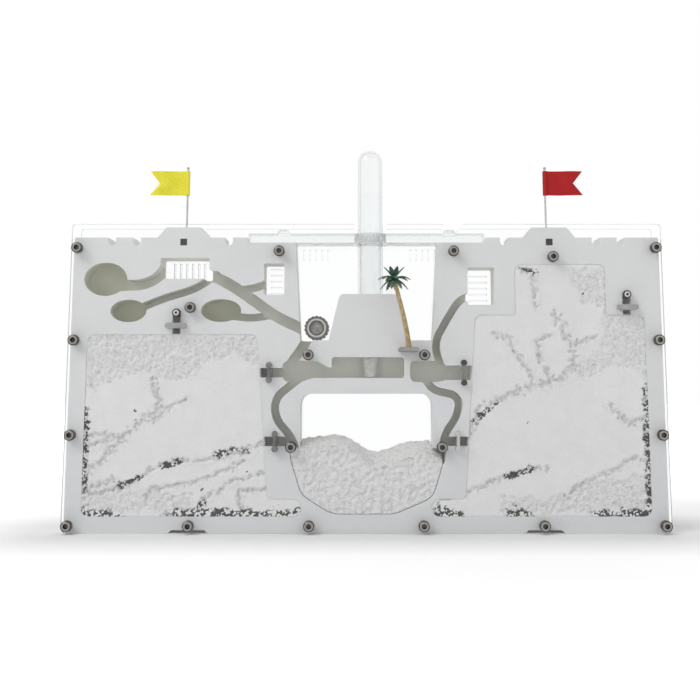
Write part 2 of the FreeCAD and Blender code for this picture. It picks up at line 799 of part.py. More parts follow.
def make_flag(sign):
    """Swallow-tailed flag with its rolled sleeve, flying outwards from the pin."""
    x = sign * tower_x
    low = board_top + flag_bottom
    high = low + flag_height
    far = x + sign * flag_length
    notch = far - sign * flag_tail
    half = flag_thickness / 2
    cloth = panel([(x, low + 0.4), (far, low + 0.4), (notch, (low + high) / 2), (far, high - 0.4),
                   (x, high - 0.4)], 0, -half, half)
    sleeve = rod_z(x, 0, sleeve_radius, low, high)
    bore = rod_z(x, 0, pin_radius + pin_clearance, low - 1, high + 1)
    return cloth.fuse(sleeve).cut(bore).removeSplitter()


def palm_axis(height):
    """Point on the leaning trunk at a height above its foot."""
    share = height / trunk_height
    foot_z = outworld_floor - palm_slot_drop + palm_slot_height / 2
    return Vector(palm_x - palm_lean * share ** 1.3, cover_front - palm_stand_off, foot_z + height)


def make_trunk():
    """Leaning trunk that tapers from its foot to the crown."""
    rings = []
    count = 4
    for i in range(count + 1):
        share = i / count
        middle = palm_axis(trunk_height * share)
        ahead = palm_axis(trunk_height * min(1.0, share + 0.05))
        behind = palm_axis(trunk_height * max(0.0, share - 0.05))
        radius = trunk_foot_radius + (trunk_top_radius - trunk_foot_radius) * share
        rings.append(Part.Wire([Part.Circle(middle, ahead - behind, radius).toShape()]))
    return Part.makeLoft(rings, True, True).cut(make_palm_foot())


def make_leaf(angle):
    """Drooping leaf: a folded crescent seen from the side, a lens seen from above."""
    upper = [(0, 0), (leaf_reach * 0.28, leaf_rise * 0.84), (leaf_reach * 0.55, leaf_rise),
             (leaf_reach * 0.84, leaf_rise * 0.3)]
    lower = [(x - leaf_thickness * x / leaf_reach, z - leaf_thickness * 0.8) for x, z in upper]
    outline = upper + [(leaf_reach, -leaf_droop)] + lower[::-1]
    corners = [Vector(x, -leaf_width, z) for x, z in outline]
    side = Part.Face(Part.makePolygon(corners + corners[:1]))
    curved = side.extrude(Vector(0, 2 * leaf_width, 0))
    belly = Vector(leaf_reach * 0.45, leaf_width / 2, -20)
    back = Vector(leaf_reach * 0.45, -leaf_width / 2, -20)
    start = Vector(-0.1, 0, -20)
    end = Vector(leaf_reach + 0.4, 0, -20)
    lens = Part.Face(Part.Wire([Part.Arc(start, belly, end).toShape(),
                                Part.Arc(end, back, start).toShape()]))
    leaf = curved.common(lens.extrude(Vector(0, 0, 40)))
    leaf.rotate(Vector(0, 0, 0), Vector(0, 0, 1), angle)
    leaf.translate(palm_axis(trunk_height) + Vector(0, 0, 1.0))
    return leaf


def make_crown():
    """Ring of leaves round a small heart on top of the trunk."""
    top = palm_axis(trunk_height)
    heart = Part.makeCone(trunk_top_radius, trunk_top_radius * 1.6, 1.5, top + Vector(0, 0, 0.2))
    leaves = [make_leaf(360.0 * i / leaf_count + 22.5) for i in range(leaf_count)]
    return joined([heart] + leaves)


def make_palm_foot():
    """Flat tongue that plugs into the slot and carries the trunk."""
    z = outworld_floor - palm_slot_drop
    tongue = slot(palm_x, z, palm_slot_width, palm_slot_height, 0,
                  cover_front - palm_stand_off - 2.6, front_face + palm_slot_depth - 0.2)
    return tongue


def make_cup():
    """Small fluted feeding cup, standing on its rim with the mouth to the front."""
    z = outworld_floor + 0.05 + cup_radius
    y0 = front_face + cup_front_gap
    y1 = y0 + cup_depth
    body = rod_y(cup_x, z, cup_radius, y0, y1)
    groove = panel([(cup_x - cup_groove / 2, z + cup_radius + 1.0),
                    (cup_x + cup_groove / 2, z + cup_radius + 1.0),
                    (cup_x + cup_groove / 5, z + cup_radius - cup_groove_depth),
                    (cup_x - cup_groove / 5, z + cup_radius - cup_groove_depth)], 0, y0 - 1, y1 + 1)
    grooves = []
    for i in range(cup_grooves):
        cut = groove.copy()
        cut.rotate(Vector(cup_x, 0, z), Vector(0, 1, 0), 360.0 * (i + 0.5) / cup_grooves)
        grooves.append(cut)
    hollow = rod_y(cup_x, z, cup_rim_radius, y0 - 1, y1 - cup_wall)
    return body.cut(grooves + [hollow]).removeSplitter()


def make_cup_ring():
    """Pale ring pressed inside the cup's mouth."""
    z = outworld_floor + 0.05 + cup_radius
    y0 = front_face + cup_front_gap + 0.3
    ring = rod_y(cup_x, z, cup_rim_radius - 0.02, y0, y0 + 1.6)
    return ring.cut(rod_y(cup_x, z, cup_rim_radius - 0.9, y0 - 1, y0 + 3))


def make_cup_feed():
    """Set feed that fills the cup behind the ring."""
    z = outworld_floor + 0.05 + cup_radius
    y0 = front_face + cup_front_gap + 1.9
    y1 = front_face + cup_front_gap + cup_depth - cup_wall
    return rod_y(cup_x, z, cup_rim_radius - 0.02, y0, y1)


def make_plug(x, z):
    """Round plug in a water port, with a small hexagon to turn it."""
    head = rod_y(x, z, port_head_radius, cover_front - port_head_height, cover_front - 0.02)
    shank = rod_y(x, z, port_radius, cover_front - 0.4, cover_front + port_depth)
    key = hexagon(x, z, port_radius, cover_front - port_head_height - 1, cover_front + 0.4)
    return head.fuse(shank).cut(key).removeSplitter()


save("nest_board", make_board())
save("front_cover", make_front_cover())
save("back_cover", make_back_cover())
save("cover_screws", Part.Compound([make_screw(x, z) for x, z in screw_places()]))
save("cover_nuts", Part.Compound([make_nut(x, z) for x, z in screw_places()]))
save("nest_sand_left", left_nest(-sand_gap, front_face + 0.05, pocket_back))
save("nest_sand_right", right_nest(-sand_gap, front_face + 0.05, pocket_back))
save("bowl_sand", make_sand_bowl())
save("outworld_lid", make_lid())
save("tube_collar", make_collar())
save("water_tube", make_tube())
save("tube_water", make_water())
save("tube_cotton", make_cotton())
for node, gate_x, gate_z, gate_passage in tunnel_gates():
    blade, guides = make_gate(gate_x, gate_z, gate_passage)
    save(node + "_blade", blade)
    save(node + "_beads", Part.Compound(guides))
for side_name, port_x, port_z in ports():
    save("port_plug_" + side_name, make_plug(port_x, port_z))
    save("port_gate_" + side_name,
         slot(port_x, port_z - cross_gate_below_port, cross_gate_width, cross_gate_height, 0,
              cover_front - gate_proud, pocket_back - 0.1))
for side_name, side_sign in (("left", -1), ("right", 1)):
    bore = rod_z(side_sign * tower_x, 0, pin_radius + pin_clearance,
                 board_top + tab_height - pin_tip_depth - 4.3, board_top + 1)
    save("pin_holder_" + side_name, holder_block(side_sign * tower_x, 0).cut(bore))
    save("flag_pin_" + side_name, make_pin(side_sign))
    save("flag_" + side_name, make_flag(side_sign))
save("palm_foot", make_palm_foot())
save("palm_trunk", make_trunk())
save("palm_crown", make_crown())
save("feeding_cup", make_cup())
save("feeding_cup_ring", make_cup_ring())
save("feeding_cup_feed", make_cup_feed())
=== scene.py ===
import bpy
import math
import numpy as np
from mathutils import Matrix, Vector, noise


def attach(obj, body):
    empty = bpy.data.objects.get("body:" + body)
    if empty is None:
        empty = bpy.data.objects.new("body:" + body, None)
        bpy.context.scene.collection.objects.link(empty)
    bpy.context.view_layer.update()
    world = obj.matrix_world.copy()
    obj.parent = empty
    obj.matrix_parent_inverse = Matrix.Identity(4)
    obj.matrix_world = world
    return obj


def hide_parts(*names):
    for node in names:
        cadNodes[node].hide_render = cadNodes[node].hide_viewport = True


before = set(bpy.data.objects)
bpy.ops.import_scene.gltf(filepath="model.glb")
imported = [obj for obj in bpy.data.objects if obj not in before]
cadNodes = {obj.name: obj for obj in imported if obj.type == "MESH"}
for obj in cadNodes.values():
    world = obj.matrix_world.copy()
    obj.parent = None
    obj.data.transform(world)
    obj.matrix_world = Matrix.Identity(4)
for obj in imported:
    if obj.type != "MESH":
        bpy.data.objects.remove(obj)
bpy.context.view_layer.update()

mm = 0.001
scene = bpy.context.scene
scene.view_settings.view_transform = 'Standard'
print("frame loaded:", len(cadNodes), "nodes")

cameraView = {
    'place': (-0.0002, -0.5189, 0.0730),
    'pitch': 7.8,          # degrees above level
    'lens': 51.94,
    'shiftX': -0.0229,     # the habitat stands a little right of the middle
    'shiftY': -0.150,
}


def makeCamera():
    data = bpy.data.cameras.new("camera")
    data.lens = cameraView['lens']
    data.shift_x = cameraView['shiftX']
    data.shift_y = cameraView['shiftY']
    data.clip_start = 0.01
    data.clip_end = 20
    camera = bpy.data.objects.new("camera", data)
    scene.collection.objects.link(camera)
    camera.location = cameraView['place']
    camera.rotation_euler = (math.radians(90 + cameraView['pitch']), 0, 0)
    scene.camera = camera


def newMaterial(name):
    material = bpy.data.materials.new(name)
    material.use_nodes = True
    nodes = material.node_tree.nodes
    return material, nodes, material.node_tree.links, nodes['Principled BSDF']


def ranged(nodes, links, source, low, high, toLow, toHigh):
    node = nodes.new('ShaderNodeMapRange')
    node.inputs['From Min'].default_value = low
    node.inputs['From Max'].default_value = high
    node.inputs['To Min'].default_value = toLow
    node.inputs['To Max'].default_value = toHigh
    links.new(source, node.inputs['Value'])
    return node.outputs['Result']


def joined(nodes, links, operation, first, second):
    node = nodes.new('ShaderNodeMath')
    node.operation = operation
    links.new(first, node.inputs[0])
    links.new(second, node.inputs[1])
    return node.outputs[0]


def seenDirectly(nodes, links):  # 1 where the camera looks, also through clear pieces and in reflections
    path = nodes.new('ShaderNodeLightPath')
    seen = joined(nodes, links, 'MAXIMUM', path.outputs['Is Camera Ray'], path.outputs['Is Transmission Ray'])
    glossy = path.outputs['Is Glossy Ray']
    return joined(nodes, links, 'MAXIMUM', seen, glossy), glossy


studio = {
    'worldLevel': 0.60,
    'aim': (0, 0, 0.08),
    # place, size and power of each lamp
    'lamps': {"keyLamp": ((-0.95, -0.85, 1.15), 0.9, 9.4),
              "fillLamp": ((0.9, -1.2, 0.45), 1.2, 1.6),
              "backLamp": ((0.3, 1.1, 0.8), 1.0, 2.0)},
}


def aimedLamp(name, spot, size, power):
    data = bpy.data.lights.new(name, 'AREA')
    data.shape = 'SQUARE'
    data.size = size
    data.energy = power
    lamp = bpy.data.objects.new(name, data)
    scene.collection.objects.link(lamp)
    lamp.location = spot
    lamp.visible_camera = False
    lamp.visible_transmission = False
    lamp.rotation_euler = (Vector(studio['aim']) - Vector(spot)).to_track_quat('-Z', 'Y').to_euler()


def makeStudio():
    for name, settings in studio['lamps'].items():
        aimedLamp(name, *settings)
    world = bpy.data.worlds.new("studioWorld")
    scene.world = world
    world.use_nodes = True
    nodes, links = world.node_tree.nodes, world.node_tree.links
    back = nodes['Background']
    back.inputs['Color'].default_value = (1, 1, 1, 1)
    seen, glossy = seenDirectly(nodes, links)
    links.new(ranged(nodes, links, seen, 0, 1, studio['worldLevel'], 1.0), back.inputs['Strength'])


floorLook = {
    'size': 6, 'below': 0.0002,
    'footprint': (0.15, 0.01, 0),   # half of what the habitat covers
    'contact': (0.015, 0.065),      # distance over which the painted shadow at its foot fades
    'far': (0.12, 0.5),             # distance over which the floor turns to even white
    'shade': 0.26,                  # share of the white that the first of them brings
}


def makeFloor():
    look = floorLook
    bpy.ops.object.select_all(action='DESELECT')
    bpy.ops.mesh.primitive_grid_add(x_subdivisions=4, y_subdivisions=4, size=look['size'])
    floor = bpy.context.object
    floor.name = "studioFloor"
    floor.location.z = -look['below']
    material, nodes, links, shader = newMaterial("studioFloorWhite")
    shader.inputs['Base Color'].default_value = (0.9, 0.9, 0.9, 1)
    shader.inputs['Roughness'].default_value = 0.9
    shader.inputs['Specular IOR Level'].default_value = 0.0
    reach = nodes.new('ShaderNodeTexCoord').outputs['Object']
    for operation, second in (('ABSOLUTE', None), ('SUBTRACT', look['footprint']), ('MAXIMUM', (0, 0, 0)),
                              ('LENGTH', None)):
        step = nodes.new('ShaderNodeVectorMath')
        step.operation = operation
        if second:
            step.inputs[1].default_value = second
        links.new(reach, step.inputs[0])
        reach = step.outputs['Value' if operation == 'LENGTH' else 0]
    # painted shadow: the floor's glow is held back close to the habitat's foot
    contact = ranged(nodes, links, reach, *look['contact'], 0, look['shade'])
    far = ranged(nodes, links, reach, *look['far'], 0, 1 - look['shade'])
    seen, glossy = seenDirectly(nodes, links)
    glow = nodes.new('ShaderNodeEmission')
    glow.inputs['Color'].default_value = (1, 1, 1, 1)
    links.new(joined(nodes, links, 'MULTIPLY', seen, joined(nodes, links, 'ADD', contact, far)),
              glow.inputs['Strength'])
    both = nodes.new('ShaderNodeAddShader')
    links.new(shader.outputs[0], both.inputs[0])
    links.new(glow.outputs[0], both.inputs[1])
    mirrored = nodes.new('ShaderNodeEmission')  # reflections meet the same white below and above the horizon
    even = nodes.new('ShaderNodeMixShader')
    links.new(glossy, even.inputs[0])
    links.new(both.outputs[0], even.inputs[1])
    links.new(mirrored.outputs[0], even.inputs[2])
    links.new(even.outputs[0], nodes['Material Output'].inputs['Surface'])
    floor.data.materials.append(material)


makeCamera()
makeStudio()
makeFloor()
print("camera, lamps and floor ready")


def newGroup(name, inputs, outputs):
    group = bpy.data.node_groups.new(name, 'ShaderNodeTree')
    for label, value in inputs:
        socket = group.interface.new_socket(name=label, in_out='INPUT', socket_type='NodeSocketFloat')
        socket.default_value = value
    for label in outputs:
        group.interface.new_socket(name=label, in_out='OUTPUT', socket_type='NodeSocketFloat')
    start = group.nodes.new('NodeGroupInput')
    end = group.nodes.new('NodeGroupOutput')
    return group, start, end


def makeMottle():  # soft patches over a fine grain, on the piece's own coordinates
    group, start, end = newGroup("mottleAndGrain", [("Patch", 60.0), ("Grain", 900.0), ("Balance", 0.5)],
                                 ["Value", "Fine"])
    nodes, links = group.nodes, group.links
    where = nodes.new('ShaderNodeTexCoord')
    patch = nodes.new('ShaderNodeTexNoise')
    patch.inputs['Detail'].default_value = 3
    grain = nodes.new('ShaderNodeTexNoise')
    grain.inputs['Detail'].default_value = 2
    mix = nodes.new('ShaderNodeMix')
    links.new(where.outputs['Object'], patch.inputs['Vector'])
    links.new(where.outputs['Object'], grain.inputs['Vector'])
    links.new(start.outputs['Patch'], patch.inputs['Scale'])
    links.new(start.outputs['Grain'], grain.inputs['Scale'])
    links.new(start.outputs['Balance'], mix.inputs[0])
    links.new(patch.outputs[0], mix.inputs[2])
    links.new(grain.outputs[0], mix.inputs[3])
    links.new(mix.outputs[0], end.inputs['Value'])
    links.new(grain.outputs[0], end.inputs['Fine'])
    return group


def makeGrit():  # separate grains: height of each grain and a mask of the dark ones
    group, start, end = newGroup("looseGrit", [("Size", 700.0), ("Dark", 0.2)], ["Height", "Specks"])
    nodes, links = group.nodes, group.links
    where = nodes.new('ShaderNodeTexCoord')
    cells = nodes.new('ShaderNodeTexVoronoi')
    cells.inputs['Randomness'].default_value = 1.0
    clumps = nodes.new('ShaderNodeTexNoise')
    clumps.inputs['Scale'].default_value = 260
    clumps.inputs['Detail'].default_value = 4
    share = nodes.new('ShaderNodeSeparateColor')
    dark = nodes.new('ShaderNodeMath')
    dark.operation = 'LESS_THAN'
    tall = nodes.new('ShaderNodeMath')
    tall.operation = 'SUBTRACT'
    links.new(where.outputs['Object'], cells.inputs['Vector'])
    links.new(where.outputs['Object'], clumps.inputs['Vector'])
    links.new(start.outputs['Size'], cells.inputs['Scale'])
    links.new(cells.outputs['Color'], share.inputs[0])
    links.new(share.outputs[0], dark.inputs[0])
    links.new(start.outputs['Dark'], dark.inputs[1])
    links.new(clumps.outputs[0], tall.inputs[0])
    links.new(cells.outputs['Distance'], tall.inputs[1])
    links.new(tall.outputs[0], end.inputs['Height'])
    links.new(dark.outputs[0], end.inputs['Specks'])
    return group


mottle = makeMottle()
grit = makeGrit()


def place(nodes, group, **values):
    node = nodes.new('ShaderNodeGroup')
    node.node_tree = group
    for label, value in values.items():
        node.inputs[label].default_value = value
    return node


def mixColour(nodes, first, second):
    mix = nodes.new('ShaderNodeMix')
    mix.data_type = 'RGBA'
    mix.inputs[6].default_value = (*first, 1) if first else (1, 1, 1, 1)
    mix.inputs[7].default_value = (*second, 1)
    return mix


def bumped(nodes, links, shader, height, strength, distance):
    bump = nodes.new('ShaderNodeBump')
    bump.inputs['Strength'].default_value = strength
    bump.inputs['Distance'].default_value = distance
    links.new(height, bump.inputs['Height'])
    links.new(bump.outputs['Normal'], shader.inputs['Normal'])


def plainFinish(name, dark, light, roughLow, roughHigh, patch=60, grain=900, bump=0.15, metal=0.0,
                depth=0.0001, coat=0.0, specular=0.5):
    material, nodes, links, shader = newMaterial(name)
    pattern = place(nodes, mottle, Patch=patch, Grain=grain, Balance=0.45)
    colour = mixColour(nodes, dark, light)
    links.new(ranged(nodes, links, pattern.outputs['Value'], 0.3, 0.7, 0, 1), colour.inputs[0])
    links.new(colour.outputs[2], shader.inputs['Base Color'])
    links.new(ranged(nodes, links, pattern.outputs['Value'], 0.3, 0.7, roughLow, roughHigh),
              shader.inputs['Roughness'])
    shader.inputs['Metallic'].default_value = metal
    shader.inputs['Coat Weight'].default_value = coat
    shader.inputs['Specular IOR Level'].default_value = specular
    bumped(nodes, links, shader, pattern.outputs['Fine'], bump, depth)
    return material


def clearFinish(name, colour, ior, roughness, patch, bump, depth, haze=0.0, cut=0.0, rim=None):
    # lets light through to what lies behind; cut greys the sawn edges, rim paints shade where a round wall
    # turns away from view
    material, nodes, links, shader = newMaterial(name)
    pattern = place(nodes, mottle, Patch=patch, Grain=patch * 6, Balance=0.25)
    tint = mixColour(nodes, colour, [min(1.0, c * 1.03) for c in colour])
    links.new(pattern.outputs['Value'], tint.inputs[0])
    shown = tint.outputs[2]
    if rim:
        facing = nodes.new('ShaderNodeLayerWeight')
        facing.inputs['Blend'].default_value = 0.5
        # painted shade: the wall darkens where it turns away from the camera
        paintedSideShade = mixColour(nodes, None, rim)
        links.new(shown, paintedSideShade.inputs[6])
        links.new(ranged(nodes, links, facing.outputs['Facing'], 0.3, 0.95, 0, 1), paintedSideShade.inputs[0])
        shown = paintedSideShade.outputs[2]
    links.new(shown, shader.inputs['Base Color'])
    shader.inputs['Metallic'].default_value = 0.0
    shader.inputs['Transmission Weight'].default_value = 1.0 - haze
    shader.inputs['IOR'].default_value = ior
    links.new(ranged(nodes, links, pattern.outputs['Value'], 0.3, 0.7, roughness, roughness * 1.6 + 0.005),
              shader.inputs['Roughness'])
    bumped(nodes, links, shader, pattern.outputs['Value'], bump, depth)
    path = nodes.new('ShaderNodeLightPath')
    through = joined(nodes, links, 'MAXIMUM', path.outputs['Is Shadow Ray'], path.outputs['Is Diffuse Ray'])
    passing = nodes.new('ShaderNodeBsdfTransparent')
    passing.inputs['Color'].default_value = (0.97, 0.97, 0.97, 1)
    mix = nodes.new('ShaderNodeMixShader')
    links.new(through, mix.inputs[0])
    body = shader.outputs[0]
    if cut:
        where = nodes.new('ShaderNodeTexCoord')
        axes = nodes.new('ShaderNodeSeparateXYZ')
        turned = nodes.new('ShaderNodeMath')
        turned.operation = 'ABSOLUTE'
        sawn = nodes.new('ShaderNodeBsdfDiffuse')
        sawn.inputs['Color'].default_value = (0.60, 0.62, 0.62, 1)
        edges = nodes.new('ShaderNodeMixShader')
        links.new(where.outputs['Normal'], axes.inputs[0])
        links.new(axes.outputs['Y'], turned.inputs[0])
        links.new(ranged(nodes, links, turned.outputs[0], 0.4, 0.7, cut, 0), edges.inputs[0])
        links.new(body, edges.inputs[1])
        links.new(sawn.outputs[0], edges.inputs[2])
        body = edges.outputs[0]
    links.new(body, mix.inputs[1])
    links.new(passing.outputs[0], mix.inputs[2])
    links.new(mix.outputs[0], nodes['Material Output'].inputs['Surface'])
    return material


boardColours = {
    'face': (0.785, 0.790, 0.795),
    'low': (0.730, 0.745, 0.760),       # the face is a little cooler towards the bottom
    # pocket: olive grey tint of the cut walls and floors, partly painted shade of the recesses
    'pocket': (0.76, 0.77, 0.71),
    'chamber': (0.60, 0.61, 0.485),     # painted shade in the deep chambers over the olive grey tint of cut walls and floors
    'worn': (0.66, 0.67, 0.66),
}
pocketSpans = {  # mm, where the pockets' tint and painted shade fade in or out
    'front': (-7.35, -6.2), 'rear': (5.1, 5.6), 'side': (148.6, 148.9),
    'bottom': (2.0, 2.3), 'top': (143.0, 144.0),
}
# x, z and reach in mm of the painted shade in each chamber
shadedChamberPlaces = [(-133.0, 125.4, 9.5), (-120.5, 109.3, 9.0), (-74.5, 109.5, 9.5), (-44.0, 92.0, 5.0),
                 (40.0, 90.0, 5.0)]


def makeBoardFinish():
    material, nodes, links, shader = newMaterial("routedWhiteBoard")
    pattern = place(nodes, mottle, Patch=25, Grain=1400, Balance=0.35)
    where = nodes.new('ShaderNodeTexCoord')
    axes = nodes.new('ShaderNodeSeparateXYZ')
    links.new(where.outputs['Object'], axes.inputs[0])
    face = mixColour(nodes, boardColours['low'], boardColours['face'])
    links.new(ranged(nodes, links, axes.outputs['Z'], 0.0, 0.09, 0, 1), face.inputs[0])
    spans = {label: [edge * mm for edge in span] for label, span in pocketSpans.items()}
    # mask of the pockets, where their tint and painted shade go
    front = ranged(nodes, links, axes.outputs['Y'], *spans['front'], 0, 1)
    rear = ranged(nodes, links, axes.outputs['Y'], *spans['rear'], 1, 0)
    wide = nodes.new('ShaderNodeMath')
    wide.operation = 'ABSOLUTE'
    links.new(axes.outputs['X'], wide.inputs[0])
    side = ranged(nodes, links, wide.outputs[0], *spans['side'], 1, 0)
    bottom = ranged(nodes, links, axes.outputs['Z'], *spans['bottom'], 0, 1)
    top = ranged(nodes, links, axes.outputs['Z'], *spans['top'], 1, 0)
    mask = front
    for other in (rear, side, bottom, top):
        mask = joined(nodes, links, 'MULTIPLY', mask, other)
    deepest = None
    for x, z, reach in shadedChamberPlaces:  # painted shade: the chambers are darker than the tunnels that leave them
        gap = nodes.new('ShaderNodeVectorMath')
        gap.operation = 'DISTANCE'
        gap.inputs[1].default_value = (x * mm, 0, z * mm)
        links.new(where.outputs['Object'], gap.inputs[0])
        near = ranged(nodes, links, gap.outputs['Value'], reach * mm, (reach + 5) * mm, 1, 0)
        deepest = joined(nodes, links, 'MAXIMUM', deepest, near) if deepest else near
    # pocket colour, darkened near the chambers as painted shade
    pocketTintAndShade = mixColour(nodes, boardColours['pocket'], boardColours['chamber'])
    links.new(deepest, pocketTintAndShade.inputs[0])
    colour = mixColour(nodes, None, boardColours['pocket'])
    links.new(pocketTintAndShade.outputs[2], colour.inputs[7])
    links.new(mask, colour.inputs[0])
    links.new(face.outputs[2], colour.inputs[6])
    worn = mixColour(nodes, None, boardColours['worn'])
    links.new(colour.outputs[2], worn.inputs[6])
    links.new(ranged(nodes, links, pattern.outputs['Value'], 0.52, 0.8, 0, 0.35), worn.inputs[0])
    links.new(worn.outputs[2], shader.inputs['Base Color'])
    links.new(ranged(nodes, links, pattern.outputs['Value'], 0.3, 0.7, 0.42, 0.6), shader.inputs['Roughness'])
    shader.inputs['Specular IOR Level'].default_value = 0.35
    bumped(nodes, links, shader, pattern.outputs['Fine'], 0.12, 0.00006)
    return material


def makeSandFinish():  # the mesh carries how loose and how dirty each spot is
    material, nodes, links, shader = newMaterial("whiteSandGrain")
    grains = place(nodes, grit, Size=1150, Dark=0.34)
    pattern = place(nodes, mottle, Patch=120, Grain=1600, Balance=0.6)
    loose = nodes.new('ShaderNodeAttribute')
    loose.attribute_name = "loose"
    dirty = nodes.new('ShaderNodeAttribute')
    dirty.attribute_name = "dirty"
    packed = mixColour(nodes, (0.765, 0.767, 0.762), (0.825, 0.828, 0.825))
    links.new(ranged(nodes, links, pattern.outputs['Value'], 0.35, 0.65, 0, 1), packed.inputs[0])
    shade = mixColour(nodes, None, (0.36, 0.36, 0.345))
    links.new(packed.outputs[2], shade.inputs[6])
    share = joined(nodes, links, 'MULTIPLY', loose.outputs['Fac'], grains.outputs['Specks'])
    links.new(ranged(nodes, links, share, 0, 1, 0, 0.24), shade.inputs[0])
    black = mixColour(nodes, None, (0.035, 0.033, 0.03))
    links.new(shade.outputs[2], black.inputs[6])
    dirt = place(nodes, grit, Size=980, Dark=0.6)
    soiled = joined(nodes, links, 'MULTIPLY', dirty.outputs['Fac'], dirt.outputs['Specks'])
    links.new(ranged(nodes, links, soiled, 0.1, 0.4, 0, 1), black.inputs[0])
    links.new(black.outputs[2], shader.inputs['Base Color'])
    shader.inputs['Roughness'].default_value = 0.92
    shader.inputs['Specular IOR Level'].default_value = 0.2
    rise = joined(nodes, links, 'MULTIPLY', grains.outputs['Height'],
                  ranged(nodes, links, loose.outputs['Fac'], 0, 1, 0.12, 1.0))
    bumped(nodes, links, shader, rise, 0.7, 0.0006)
    return material


board = makeBoardFinish()
sand = makeSandFinish()
coverClear = clearFinish("clearAcrylicCover", (0.985, 0.99, 0.99), 1.45, 0.0, 20, 0.01, 0.00005, cut=0.45)
lidClear = clearFinish("clearAcrylicLid", (0.93, 0.945, 0.95), 1.49, 0.03, 55, 0.55, 0.0011, haze=0.12,
                       cut=0.3)
bladeClear = clearFinish("clearGateBlade", (0.93, 0.94, 0.94), 1.49, 0.05, 90, 0.1, 0.0002)
# the tube's rim colour is painted shade where its wall turns away from view
tubeGlass = clearFinish("tubeGlass", (0.935, 0.945, 0.945), 1.47, 0.0, 30, 0.01, 0.00005,
                        rim=(0.50, 0.52, 0.52))
tubeWater = clearFinish("tubeWater", (0.975, 0.985, 0.99), 1.33, 0.0, 30, 0.0, 0.00005)
collarClear = clearFinish("clearSiliconeCollar", (0.80, 0.82, 0.82), 1.41, 0.2, 150, 0.2, 0.0002, haze=0.25)
steel = plainFinish("platedSteel", (0.30, 0.29, 0.27), (0.62, 0.60, 0.57), 0.22, 0.42, 300, 2500, 0.1, 1.0)
screwSteel = plainFinish("screwSteel", (0.10, 0.095, 0.09), (0.34, 0.32, 0.30),
                         0.18, 0.4, 500, 3000, 0.2, 1.0)
rubber = plainFinish("blackRubber", (0.030, 0.030, 0.030), (0.085, 0.085, 0.085), 0.5, 0.75, 350, 2500, 0.4)
greyRubber = plainFinish("greyRubberBead", (0.11, 0.11, 0.11), (0.26, 0.26, 0.255),
                         0.45, 0.7, 400, 2500, 0.4)
smokePlastic = plainFinish("smokedGate", (0.10, 0.10, 0.10), (0.20, 0.20, 0.195),
                           0.25, 0.45, 300, 2200, 0.3)
barPlastic = plainFinish("greyCrossGate", (0.26, 0.265, 0.26), (0.45, 0.455, 0.45),
                         0.25, 0.45, 250, 2200, 0.3)
frostGate = plainFinish("frostedGate", (0.46, 0.465, 0.45), (0.62, 0.625, 0.61), 0.3, 0.5, 250, 2200, 0.3)
yellowFilm = plainFinish("yellowFlagFilm", (0.72, 0.66, 0.010), (0.86, 0.80, 0.03),
                         0.22, 0.34, 120, 900, 0.1, coat=0.3)
redFilm = plainFinish("redFlagFilm", (0.36, 0.006, 0.009), (0.47, 0.012, 0.015), 0.42, 0.55, 120, 900, 0.1,
                      specular=0.25)
trunkTan = plainFinish("palmTrunkTan", (0.20, 0.125, 0.04), (0.68, 0.52, 0.27), 0.55, 0.8, 420, 2400, 0.5)
leafGreen = plainFinish("palmLeafGreen", (0.010, 0.036, 0.018), (0.085, 0.17, 0.11),
                        0.3, 0.55, 600, 1500, 0.3)
footGrey = plainFinish("palmFootGrey", (0.19, 0.19, 0.18), (0.42, 0.41, 0.38), 0.3, 0.5, 280, 2000, 0.3)
cupDark = plainFinish("cupDarkPlastic", (0.028, 0.027, 0.025), (0.13, 0.125, 0.115),
                      0.3, 0.55, 420, 2400, 0.4)
cupPale = plainFinish("cupPaleRing", (0.48, 0.47, 0.45), (0.72, 0.71, 0.69), 0.3, 0.5, 300, 2000, 0.2)
feedGrey = plainFinish("driedFeed", (0.075, 0.070, 0.062), (0.30, 0.29, 0.265),
                       0.15, 0.4, 380, 1800, 0.7, coat=0.4)
cottonWhite = plainFinish("cottonWool", (0.62, 0.62, 0.60), (0.80, 0.80, 0.785), 0.9, 1.0, 500, 4000, 1.0,
                          depth=0.0004, specular=0.1)


def makeScrewFinish():  # bright crown; the chamfer, knurled side and socket are painted dark as shade on the same steel
    material, nodes, links, shader = newMaterial("screwHeadSteel")
    pattern = place(nodes, mottle, Patch=500, Grain=3000, Balance=0.4)
    where = nodes.new('ShaderNodeTexCoord')
    axes = nodes.new('ShaderNodeSeparateXYZ')
    links.new(where.outputs['Object'], axes.inputs[0])
    dark = mixColour(nodes, (0.03, 0.028, 0.026), (0.11, 0.10, 0.095))
    links.new(ranged(nodes, links, pattern.outputs['Value'], 0.3, 0.7, 0, 1), dark.inputs[0])
    head = mixColour(nodes, (0.30, 0.285, 0.265), (1, 1, 1))
    links.new(dark.outputs[2], head.inputs[7])
    # painted shade: everything behind the crown face takes the dark colour
    links.new(ranged(nodes, links, axes.outputs['Y'], -12.98 * mm, -12.93 * mm, 0, 1), head.inputs[0])
    links.new(head.outputs[2], shader.inputs['Base Color'])
    links.new(ranged(nodes, links, pattern.outputs['Value'], 0.3, 0.7, 0.24, 0.42),
              shader.inputs['Roughness'])
    shader.inputs['Metallic'].default_value = 1.0
    bumped(nodes, links, shader, pattern.outputs['Fine'], 0.2, 0.0001)
    return material


screwFinish = makeScrewFinish()
plugWhite = plainFinish("plugWhiteRing", (0.66, 0.66, 0.66), (0.82, 0.82, 0.82), 0.3, 0.5, 300, 2000, 0.1)
print("finishes ready")

